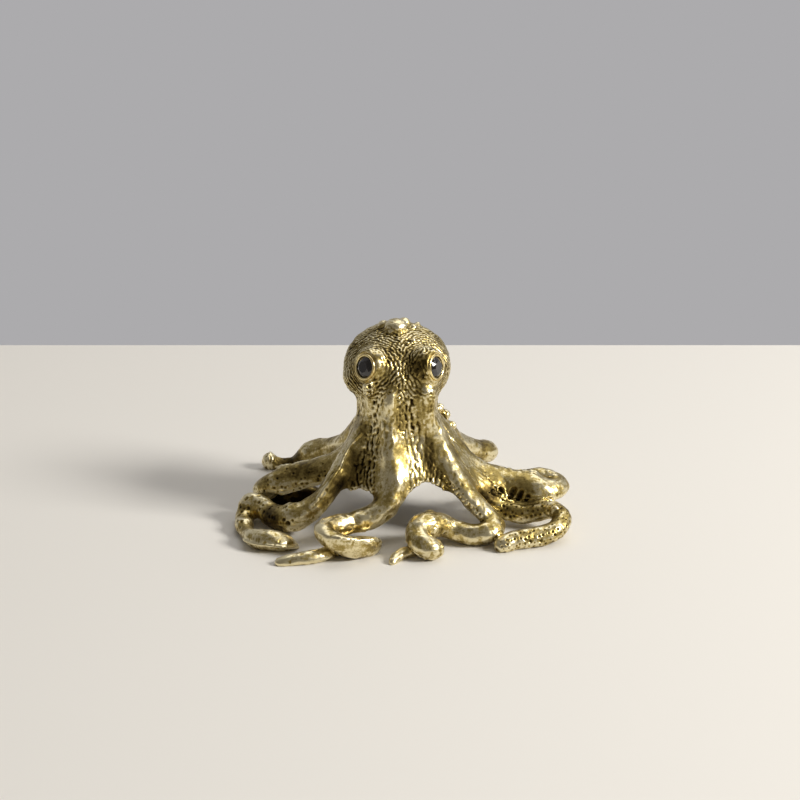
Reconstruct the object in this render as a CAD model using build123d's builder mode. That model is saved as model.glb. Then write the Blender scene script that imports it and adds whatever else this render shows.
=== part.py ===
from build123d import *
import math
import os

# Octopus figurine in cast brass: a mantle with its lobed web, eight curled arms and two set eyes.
# The origin is on the ground under the middle of the footprint, +Z is up and -Y is the face.
# Each arm is one casting that seats on a stub of the web with a keyed tenon.

# Overall sizes, in millimetres
half_span = 32.0  # from the middle of the footprint to the outermost curl
figure_height = 38.0  # from the ground to the crown
arm_radius = 2.3  # of a full arm where it leaves the web
foot_flat = 0.35  # how deep the undersides are ground flat

# Section counts
arm_sides = 12
head_sides = 28
web_sides = 32
rings_a_row = 2  # sections between one point of an arm's route and the next
flatness = 1e-8  # a facet that is warped by more is folded

# Joint between an arm and its stub
tenon_radius = 1.15
tenon_length = 2.4
tenon_sides = 6
tenon_clearance = 0.05

# Mantle, an egg that leans back
mantle_half_width = 10.2
mantle_half_depth = 10.8
mantle_half_height = 7.8
mantle_centre_share = (-0.028, 0.081, 0.763)  # of half_span twice and of figure_height
mantle_lean = 0.25  # how far a level moves back for its rise
mantle_ring_angles = (-72, -58, -44, -30, -16, -2, 12, 26, 40, 54, 68, 81)

# Neck and web, hollow underneath
web_wall = 1.7
overrun = 1.0  # how far a cut runs past the skin that it opens
hollow_top_share = 0.46
web_rings_share = (  # height of figure_height, then radius and shifts of half_span
    (0.190, 0.430, 0.000, 0.010),
    (0.240, 0.403, 0.000, 0.010),
    (0.300, 0.352, 0.000, 0.012),
    (0.370, 0.306, -0.005, 0.016),
    (0.450, 0.262, -0.012, 0.022),
    (0.530, 0.232, -0.022, 0.026),
    (0.600, 0.224, -0.028, 0.012),
    (0.680, 0.222, -0.028, -0.014),
    (0.760, 0.200, -0.028, -0.052),
    (0.830, 0.150, -0.028, -0.080),
)

# Arches between the arms: heading from the face, half width of half_span and apex of
# figure_height
arch_round_share = 0.8  # rise of an arch over its half width
arches_share = (
    (20.0, 0.155, 0.262),
    (112.0, 0.190, 0.275),
    (182.0, 0.235, 0.285),
    (-113.0, 0.150, 0.262),
    (-71.5, 0.075, 0.232),
    (-32.5, 0.130, 0.226),
    (64.0, 0.085, 0.235),
)

# Eyes: a stone in a cup that is pressed into a raised mound
stone_radius = 2.0
stone_girdle = 0.2
stone_crown = 0.62
stone_table_radius = 1.15
stone_pavilion = 1.25
stone_culet_radius = 0.15
stone_facets = 16
stone_clearance = 0.03
cup_wall = 0.5
cup_rim = 0.28  # the lip stands this far over the girdle
cup_floor = 0.5
cup_fit = 0.03
cup_proud = 0.7  # of the mound's face
lip_chamfer_share = 0.5  # of the lip's wall
mound_radius = 3.1
mound_depth = 4.5
mound_sides = 20
mound_profile_share = ((1.0, 1.5), (0.2, 1.18), (0.0, 1.0))
eye_places_share = (  # from the mantle's centre, of its half sizes
    (-0.608, -0.833, 0.316),
    (0.734, -0.833, 0.316),
)
eye_headings = ((-45.6, 13.5), (58.4, 10.2))  # degrees to the right of the face and above level

# Warts on the crown and on the rear arm roots
wart_radius = 1.15
wart_sides = 8
wart_profile_share = ((-0.6, 1.0), (0.3, 0.9), (0.7, 0.45))
crown_steps = 12  # rounds that settle a wart's height on the leaning mantle
crown_warts_share = (  # across and depth from the mantle's centre, of its half sizes, and size
    (-0.257, -0.181, 0.90),
    (-0.106, -0.404, 0.75),
    (-0.022, -0.063, 1.15),
    (0.126, -0.300, 0.95),
    (0.239, -0.019, 1.05),
    (0.355, -0.256, 0.80),
    (-0.178, 0.144, 1.00),
    (0.151, 0.233, 1.10),
    (0.418, 0.174, 0.85),
)
root_warts_share = (  # arm, row, degrees about the arm and size as a share of wart_radius
    ("arm_left_rear", 1.5, -40, 0.80),
    ("arm_right_rear", 1.0, 40, 0.90),
    ("arm_right_rear", 1.5, 25, 1.10),
    ("arm_right_rear", 2.5, 30, 0.80),
)

# Routes of the arms, from the neck to the tip. A row is a place across and in depth as shares
# of half_span, a lift off the ground as a share of figure_height and a share of arm_radius.
# The seat is the row where the arm's own casting starts.
arm_tables = {
    "arm_front_left": {
        "seat_row": 6,
        "rows_share": (
            (-0.070, -0.165, 0.660, 0.35),
            (-0.058, -0.184, 0.560, 0.60),
            (-0.050, -0.225, 0.440, 0.82),
            (-0.046, -0.290, 0.330, 0.98),
            (-0.053, -0.360, 0.235, 1.06),
            (-0.072, -0.415, 0.155, 1.04),
            (-0.135, -0.458, 0.096, 1.02),
            (-0.230, -0.496, 0.072, 0.97),
            (-0.335, -0.545, 0.072, 0.92),
            (-0.420, -0.612, 0.080, 0.88),
            (-0.446, -0.694, 0.084, 0.85),
            (-0.394, -0.756, 0.062, 0.88),
            (-0.306, -0.746, 0.030, 0.92),
            (-0.225, -0.700, 0.010, 0.92),
            (-0.182, -0.660, 0.004, 0.82),
            (-0.160, -0.636, 0.004, 0.58),
            (-0.148, -0.624, 0.008, 0.28),
        ),
        "tip_rows_share": (
            (-0.200, -0.655, 0.010, 0.45),
            (-0.192, -0.590, 0.002, 0.52),
            (-0.235, -0.550, 0.000, 0.55),
            (-0.310, -0.585, 0.000, 0.54),
            (-0.385, -0.655, 0.000, 0.54),
            (-0.456, -0.737, 0.000, 0.57),
            (-0.550, -0.781, 0.000, 0.58),
            (-0.643, -0.800, 0.000, 0.47),
            (-0.705, -0.815, 0.003, 0.28),
            (-0.722, -0.820, 0.006, 0.14),
        ),
    },
    "arm_front_right": {
        "seat_row": 6,
        "rows_share": (
            (0.110, -0.125, 0.650, 0.35),
            (0.135, -0.130, 0.545, 0.62),
            (0.175, -0.154, 0.440, 0.84),
            (0.228, -0.197, 0.343, 0.96),
            (0.288, -0.256, 0.262, 1.00),
            (0.350, -0.309, 0.191, 1.00),
            (0.413, -0.353, 0.131, 0.98),
            (0.478, -0.390, 0.082, 0.96),
            (0.530, -0.438, 0.044, 0.94),
            (0.515, -0.505, 0.020, 0.94),
            (0.434, -0.520, 0.008, 0.95),
            (0.344, -0.497, 0.014, 0.94),
            (0.262, -0.490, 0.036, 0.93),
            (0.188, -0.535, 0.062, 0.93),
            (0.118, -0.595, 0.072, 0.94),
            (0.092, -0.655, 0.056, 0.94),
            (0.102, -0.708, 0.030, 0.92),
            (0.150, -0.726, 0.008, 0.88),
            (0.196, -0.712, 0.003, 0.68),
            (0.222, -0.700, 0.006, 0.34),
        ),
        "tip_rows_share": (
            (0.125, -0.712, 0.024, 0.45),
            (0.070, -0.700, 0.012, 0.50),
            (0.012, -0.706, 0.004, 0.49),
            (-0.030, -0.752, 0.000, 0.43),
            (-0.056, -0.800, 0.000, 0.30),
            (-0.068, -0.820, 0.004, 0.14),
        ),
    },
    "arm_left_front": {
        "seat_row": 5,
        "rows_share": (
            (-0.175, -0.080, 0.520, 0.60),
            (-0.225, -0.112, 0.434, 0.83),
            (-0.281, -0.156, 0.355, 0.92),
            (-0.338, -0.206, 0.280, 0.98),
            (-0.388, -0.259, 0.212, 1.00),
            (-0.444, -0.306, 0.149, 1.00),
            (-0.512, -0.344, 0.094, 1.00),
            (-0.594, -0.370, 0.051, 1.00),
            (-0.684, -0.359, 0.028, 0.96),
            (-0.766, -0.295, 0.024, 0.91),
            (-0.835, -0.215, 0.030, 0.86),
            (-0.908, -0.172, 0.024, 0.74),
            (-0.955, -0.222, 0.010, 0.60),
            (-0.952, -0.305, 0.002, 0.54),
            (-0.936, -0.394, 0.000, 0.53),
            (-0.900, -0.487, 0.003, 0.62),
            (-0.831, -0.559, 0.004, 0.82),
            (-0.741, -0.584, 0.003, 0.86),
            (-0.666, -0.575, 0.000, 0.62),
            (-0.619, -0.562, 0.002, 0.30),
            (-0.606, -0.558, 0.006, 0.14),
        ),
    },
    "arm_left": {
        "seat_row": 4,
        "rows_share": (
            (-0.200, 0.031, 0.510, 0.60),
            (-0.262, 0.006, 0.428, 0.80),
            (-0.335, -0.019, 0.350, 0.90),
            (-0.420, -0.031, 0.284, 0.98),
            (-0.512, -0.028, 0.229, 1.03),
            (-0.606, -0.022, 0.188, 1.04),
            (-0.700, -0.031, 0.156, 1.00),
            (-0.775, -0.020, 0.122, 0.92),
            (-0.815, 0.035, 0.078, 0.82),
            (-0.805, 0.095, 0.034, 0.78),
            (-0.745, 0.122, 0.008, 0.78),
            (-0.665, 0.106, 0.003, 0.76),
            (-0.585, 0.100, 0.002, 0.68),
            (-0.520, 0.116, 0.002, 0.50),
            (-0.480, 0.134, 0.004, 0.30),
            (-0.468, 0.140, 0.008, 0.14),
        ),
    },
    "arm_left_rear": {
        "seat_row": 4,
        "rows_share": (
            (-0.150, 0.160, 0.520, 0.62),
            (-0.195, 0.220, 0.430, 0.82),
            (-0.235, 0.282, 0.342, 0.95),
            (-0.278, 0.356, 0.255, 1.02),
            (-0.335, 0.448, 0.176, 1.05),
            (-0.405, 0.545, 0.115, 1.02),
            (-0.492, 0.630, 0.074, 0.97),
            (-0.588, 0.690, 0.046, 0.88),
            (-0.672, 0.722, 0.020, 0.68),
            (-0.742, 0.735, 0.006, 0.50),
            (-0.798, 0.735, 0.002, 0.48),
            (-0.842, 0.735, 0.002, 0.55),
            (-0.872, 0.738, 0.002, 0.40),
            (-0.884, 0.740, 0.008, 0.18),
        ),
    },
    "arm_right_rear": {
        "seat_row": 4,
        "rows_share": (
            (0.120, 0.165, 0.520, 0.62),
            (0.172, 0.228, 0.430, 0.82),
            (0.218, 0.296, 0.342, 0.95),
            (0.268, 0.370, 0.258, 1.00),
            (0.332, 0.448, 0.184, 1.02),
            (0.408, 0.528, 0.128, 1.00),
            (0.484, 0.612, 0.092, 0.95),
            (0.537, 0.700, 0.062, 0.90),
            (0.515, 0.764, 0.034, 0.86),
            (0.430, 0.779, 0.012, 0.82),
            (0.338, 0.750, 0.002, 0.79),
            (0.250, 0.722, 0.001, 0.75),
            (0.160, 0.722, 0.000, 0.68),
            (0.088, 0.768, 0.000, 0.56),
            (0.032, 0.808, 0.002, 0.36),
            (0.012, 0.822, 0.006, 0.16),
        ),
    },
    "arm_right": {
        "seat_row": 4,
        "rows_share": (
            (0.195, 0.031, 0.510, 0.62),
            (0.258, 0.006, 0.426, 0.83),
            (0.331, -0.038, 0.352, 0.92),
            (0.412, -0.069, 0.283, 0.96),
            (0.506, -0.081, 0.224, 0.98),
            (0.606, -0.094, 0.178, 0.96),
            (0.712, -0.119, 0.143, 0.96),
            (0.822, -0.138, 0.119, 0.92),
            (0.908, -0.100, 0.112, 0.84),
            (0.938, -0.016, 0.114, 0.79),
            (0.885, 0.062, 0.120, 0.78),
            (0.791, 0.088, 0.118, 0.78),
            (0.700, 0.084, 0.104, 0.75),
            (0.612, 0.078, 0.086, 0.70),
            (0.530, 0.074, 0.072, 0.60),
            (0.455, 0.058, 0.072, 0.50),
            (0.428, 0.050, 0.080, 0.26),
        ),
    },
    "arm_right_front": {
        "seat_row": 3,
        "rows_share": (
            (0.275, -0.110, 0.325, 0.70),
            (0.350, -0.150, 0.240, 0.82),
            (0.422, -0.178, 0.172, 0.83),
            (0.488, -0.188, 0.108, 0.83),
            (0.556, -0.195, 0.060, 0.80),
            (0.638, -0.212, 0.034, 0.78),
            (0.725, -0.238, 0.030, 0.78),
            (0.812, -0.262, 0.048, 0.78),
            (0.892, -0.296, 0.074, 0.74),
            (0.937, -0.372, 0.062, 0.70),
            (0.905, -0.455, 0.026, 0.74),
            (0.828, -0.505, 0.008, 0.75),
            (0.734, -0.535, 0.002, 0.75),
            (0.644, -0.568, 0.001, 0.72),
            (0.578, -0.612, 0.000, 0.58),
            (0.552, -0.635, 0.004, 0.32),
        ),
    },
}


def route(rows):
    """Place and radius at each row: the underside rests on the ground where the lift is zero."""
    placed = []
    for across, depth, lift, girth in rows:
        radius = girth * arm_radius
        height = radius - foot_flat + lift * figure_height
        placed.append((across * half_span, depth * half_span, height, radius))
    return placed


def between(a, b, c, d, t):
    """Smooth value a part t of the way from b to c, by the cubic through four rows."""
    return tuple(
        q + t / 2 * (r - p + t * (2 * p - 5 * q + 4 * r - s + t * (3 * (q - r) + s - p)))
        for p, q, r, s in zip(a, b, c, d)
    )


def finer(placed):
    """The same route with more sections, so that the bends are round."""
    padded = [placed[0]] + placed + [placed[-1]]
    out = []
    for i in range(1, len(padded) - 2):
        for k in range(rings_a_row):
            out.append(between(*padded[i - 1 : i + 3], k / rings_a_row))
    out.append(placed[-1])
    return out


def section_frames(rings):
    """A place, a direction and a steady sideways vector for every section along a route."""
    points = [Vector(x, y, z) for x, y, z, radius in rings]
    side = Vector(0, 0, 1)
    frames = []
    for i, point in enumerate(points):
        ahead = points[min(i + 1, len(points) - 1)]
        behind = points[max(i - 1, 0)]
        along = (ahead - behind).normalized()
        side = (side - along * side.dot(along)).normalized()
        frames.append((point, along, side, rings[i][3]))
    return frames


def ring(plane, half_width, half_depth, sides):
    """The corners of a many-sided oval on a plane."""
    corners = []
    for i in range(sides):
        turn = 2 * math.pi * i / sides
        local = Vector(half_width * math.cos(turn), half_depth * math.sin(turn), 0)
        corners.append(plane.from_local_coords(local))
    return corners


def facet(*corners):
    """Flat faces through the corners: a warped four-sided facet is folded along a diagonal."""
    if len(corners) == 4:
        a, b, c, d = corners
        if abs((b - a).cross(c - a).normalized().dot(d - a)) > flatness:
            return [facet(a, b, c)[0], facet(a, c, d)[0]]
    return [Face(Wire.make_polygon(corners, close=True))]


def skin(rings):
    """A closed solid over a row of rings, with flat facets from each ring to the next."""
    faces = [Face(Wire.make_polygon(end, close=True)) for end in (rings[0], rings[-1])]
    for low, high in zip(rings, rings[1:]):
        for i in range(len(low)):
            k = (i + 1) % len(low)
            faces += facet(low[i], low[k], high[k], high[i])
    return Solid(Shell(faces))


def strand(frames):
    """The skin of an arm along its route."""
    return skin(
        [
            ring(Plane(origin=point, x_dir=side, z_dir=along), radius, radius, arm_sides)
            for point, along, side, radius in frames
        ]
    )


def mantle():
    """The egg of the mantle, each level moved back as it rises."""
    centre_x, centre_y, centre_z = mantle_centre
    rings = []
    for angle in mantle_ring_angles:
        rise = mantle_half_height * math.sin(math.radians(angle))
        girth = math.cos(math.radians(angle))
        level = Plane(origin=(centre_x, centre_y + mantle_lean * rise, centre_z + rise))
        rings.append(ring(level, mantle_half_width * girth, mantle_half_depth * girth, head_sides))
    return skin(rings)


def web(inset, top_share, drop):
    """The neck and web, drawn in by the wall and run down past the hem to bound the hollow."""
    rings = []
    for height, radius, shift_x, shift_y in web_rings_share:
        if height > top_share:
            continue
        z = height * figure_height
        if not rings:
            z -= drop
        level = Plane(origin=(shift_x * half_span, shift_y * half_span, z))
        size = radius * half_span - inset
        rings.append(ring(level, size, size, web_sides))
    return skin(rings)


def wart(place, out, size):
    """A low round wart that stands on the skin."""
    radius = size * wart_radius
    rings = []
    for height_share, width_share in wart_profile_share:
        level = Plane(
            origin=place + out * (height_share * radius),
            x_dir=Vector(0, 1, 0).cross(out).normalized(),
            z_dir=out,
        )
        rings.append(ring(level, width_share * radius, width_share * radius, wart_sides))
    return skin(rings)


def mound(plane):
    """The swelling of the mantle round an eye, behind the plane of its rim."""
    rings = []
    for depth_share, width_share in mound_profile_share:
        level = plane.offset(-cup_proud - depth_share * mound_depth)
        size = width_share * mound_radius
        rings.append(ring(level, size, size, mound_sides))
    return skin(rings)


def stone(plane):
    """A cut stone: pavilion, girdle and crown, with its girdle just under the rim of its cup."""
    rings = []
    for height, radius in (
        (-cup_rim - stone_girdle - stone_pavilion, stone_culet_radius),
        (-cup_rim - stone_girdle, stone_radius),
        (-cup_rim, stone_radius),
        (-cup_rim + stone_crown, stone_table_radius),
    ):
        rings.append(ring(plane.offset(height), radius, radius, stone_facets))
    return skin(rings)


def facing_plane(heading, lift, origin):
    """A plane that looks out at a heading from the face, to the right, and up by lift."""
    turn = math.radians(heading)
    rise = math.radians(lift)
    out = (math.sin(turn) * math.cos(rise), -math.cos(turn) * math.cos(rise), math.sin(rise))
    across = (math.cos(turn), math.sin(turn), 0)
    return Plane(origin=origin, x_dir=across, z_dir=out)


def mantle_place(across, depth):
    """A place on the top of the mantle and the way that its skin faces there."""
    rise = mantle_half_height
    for step in range(crown_steps):
        y = depth * mantle_half_depth - mantle_lean * rise
        level = 1 - across**2 - (y / mantle_half_depth) ** 2
        rise = mantle_half_height * math.sqrt(max(level, 0))
    back = y / mantle_half_depth**2
    up = rise / mantle_half_height**2 - mantle_lean * back
    place = Vector(across * mantle_half_width, depth * mantle_half_depth, rise)
    return mantle_centre + place, Vector(across / mantle_half_width, back, up).normalized()


def arm_place(frames, row, turn):
    """A place on the skin of an arm, turned about it from its upper side."""
    point, along, side, radius = frames[round(row * rings_a_row)]
    angle = math.radians(turn)
    out = side * math.cos(angle) + along.cross(side) * math.sin(angle)
    return point + out * radius, out


# Middle of the mantle, over the web
share_x, share_y, share_z = mantle_centre_share
mantle_centre = Vector(share_x * half_span, share_y * half_span, share_z * figure_height)

# Routes and seats of the arms
arm_frames = {}
arm_seats = {}
seat_planes = {}
for name, table in arm_tables.items():
    arm_frames[name] = section_frames(finer(route(table["rows_share"])))
    arm_seats[name] = table["seat_row"] * rings_a_row
    point, along, side, radius = arm_frames[name][arm_seats[name]]
    seat_planes[name] = Plane(origin=point, x_dir=side, z_dir=along)

# Planes of the eye cups' rims
eye_planes = {}
for name, (across, depth, height), (heading, lift) in zip(
    ("left", "right"), eye_places_share, eye_headings
):
    rim = Vector(across * mantle_half_width, depth * mantle_half_depth, height * mantle_half_height)
    eye_planes[name] = facing_plane(heading, lift, mantle_centre + rim)

# Sizes of the cups, worked out from the stones
cup_bore = stone_radius + stone_clearance
cup_radius = cup_bore + cup_wall
seat_depth = cup_rim + stone_girdle + stone_clearance
cup_depth = seat_depth + stone_pavilion + cup_floor

with BuildPart() as mantle_and_web:
    # Neck and web, with the hollow under them and an arch between the arms
    add(web(0, 1, 0))
    add(web(web_wall, hollow_top_share, overrun), mode=Mode.SUBTRACT)
    for heading, width_share, apex_share in arches_share:
        arch_width = width_share * half_span
        apex = apex_share * figure_height
        with BuildSketch(facing_plane(heading, 0, (0, 0, 0))):
            with BuildLine():
                foot = Polyline(
                    (-arch_width, apex - arch_width * arch_round_share),
                    (-arch_width, -overrun),
                    (arch_width, -overrun),
                    (arch_width, apex - arch_width * arch_round_share),
                )
                ThreePointArc(foot @ 1, (0, apex), foot @ 0)
            make_face()
    extrude(amount=half_span, mode=Mode.SUBTRACT)

    # Mantle, the mounds of its eyes and the upper arms that run down the web as ridges
    forms = [mantle()]
    for plane in eye_planes.values():
        forms.append(mound(plane))
    for name, frames in arm_frames.items():
        forms.append(strand(frames[: arm_seats[name] + 1]))

    # Warts on the crown and on the rear arm roots
    for across, depth, size in crown_warts_share:
        forms.append(wart(*mantle_place(across, depth), size))
    for name, row, turn, size in root_warts_share:
        forms.append(wart(*arm_place(arm_frames[name], row, turn), size))
    add(forms)

    # Blind sockets for the eye cups and for the tenons of the arms
    with BuildSketch(*eye_planes.values()):
        Circle(cup_radius + cup_fit)
    extrude(amount=-cup_depth, mode=Mode.SUBTRACT)
    with BuildSketch(*seat_planes.values()):
        RegularPolygon(tenon_radius + tenon_clearance, tenon_sides)
    extrude(amount=-tenon_length - tenon_clearance, mode=Mode.SUBTRACT)
mantle_and_web.part.label = "mantle_and_web"

arms = []
for name, table in arm_tables.items():
    with BuildPart() as arm:
        add(strand(arm_frames[name][arm_seats[name] :]))
        if "tip_rows_share" in table:
            add(strand(section_frames(finer(route(table["tip_rows_share"])))))
        with BuildSketch(seat_planes[name]):
            RegularPolygon(tenon_radius, tenon_sides)
        extrude(amount=-tenon_length)
        split(bisect_by=Plane.XY, keep=Keep.TOP)
    arm.part.label = name
    arms.append(arm.part)

eyes = []
for name, plane in eye_planes.items():
    with BuildPart() as eye_bezel:
        with BuildSketch(Plane(origin=plane.origin, x_dir=plane.x_dir, z_dir=-plane.y_dir)):
            with BuildLine():
                Polyline(
                    (cup_bore, 0),
                    (cup_bore, -seat_depth),
                    (stone_culet_radius, -seat_depth - stone_pavilion),
                    (0, -seat_depth - stone_pavilion),
                    (0, -cup_depth),
                    (cup_radius, -cup_depth),
                    (cup_radius, 0),
                    close=True,
                )
            make_face()
        revolve(axis=Axis(plane.origin, plane.z_dir))
        lip = eye_bezel.edges().filter_by(GeomType.CIRCLE).group_by(Axis(plane.origin, plane.z_dir))
        chamfer(lip[-1].sort_by(SortBy.RADIUS)[-1], cup_wall * lip_chamfer_share)
    eye_bezel.part.label = f"eye_bezel_{name}"
    eyes.append(eye_bezel.part)

    with BuildPart() as eye_stone:
        add(stone(plane))
    eye_stone.part.label = f"eye_stone_{name}"
    eyes.append(eye_stone.part)

os.makedirs("parts", exist_ok=True)
for piece in [mantle_and_web.part] + arms + eyes:
    export_step(piece, f"parts/{piece.label}.step")
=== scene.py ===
import bpy
import bmesh
import math
import numpy as np
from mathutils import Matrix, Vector
from mathutils.kdtree import KDTree


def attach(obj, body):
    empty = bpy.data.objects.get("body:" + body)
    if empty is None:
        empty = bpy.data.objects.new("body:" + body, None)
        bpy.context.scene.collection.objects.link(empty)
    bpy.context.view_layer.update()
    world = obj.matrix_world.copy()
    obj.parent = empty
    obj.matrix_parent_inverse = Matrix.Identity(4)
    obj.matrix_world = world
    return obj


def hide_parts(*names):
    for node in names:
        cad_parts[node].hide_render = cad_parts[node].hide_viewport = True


# Cast brass octopus. Everything is shaped in millimetres and brought to metres at the end.
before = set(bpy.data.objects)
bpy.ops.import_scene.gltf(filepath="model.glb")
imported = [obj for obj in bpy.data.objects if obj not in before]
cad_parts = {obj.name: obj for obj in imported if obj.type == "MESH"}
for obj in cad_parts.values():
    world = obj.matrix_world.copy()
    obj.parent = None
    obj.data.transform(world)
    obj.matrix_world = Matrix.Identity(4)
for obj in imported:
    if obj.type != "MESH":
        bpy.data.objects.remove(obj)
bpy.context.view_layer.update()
metresPerMm = 0.001
print("frame loaded")

# Size of the whole figurine
figure = {
    "halfSpan": 32.0,
    "height": 38.0,
    "armRadius": 2.3,
    "groundIn": 0.35,  # depth of the flats under the arms
    "grain": 0.16,  # facets of the cast skin
    "mostTriangles": 190000,  # in any one piece
    "neckCut": 22.0,  # height where the skin of the mantle meets that of the web
}

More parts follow.
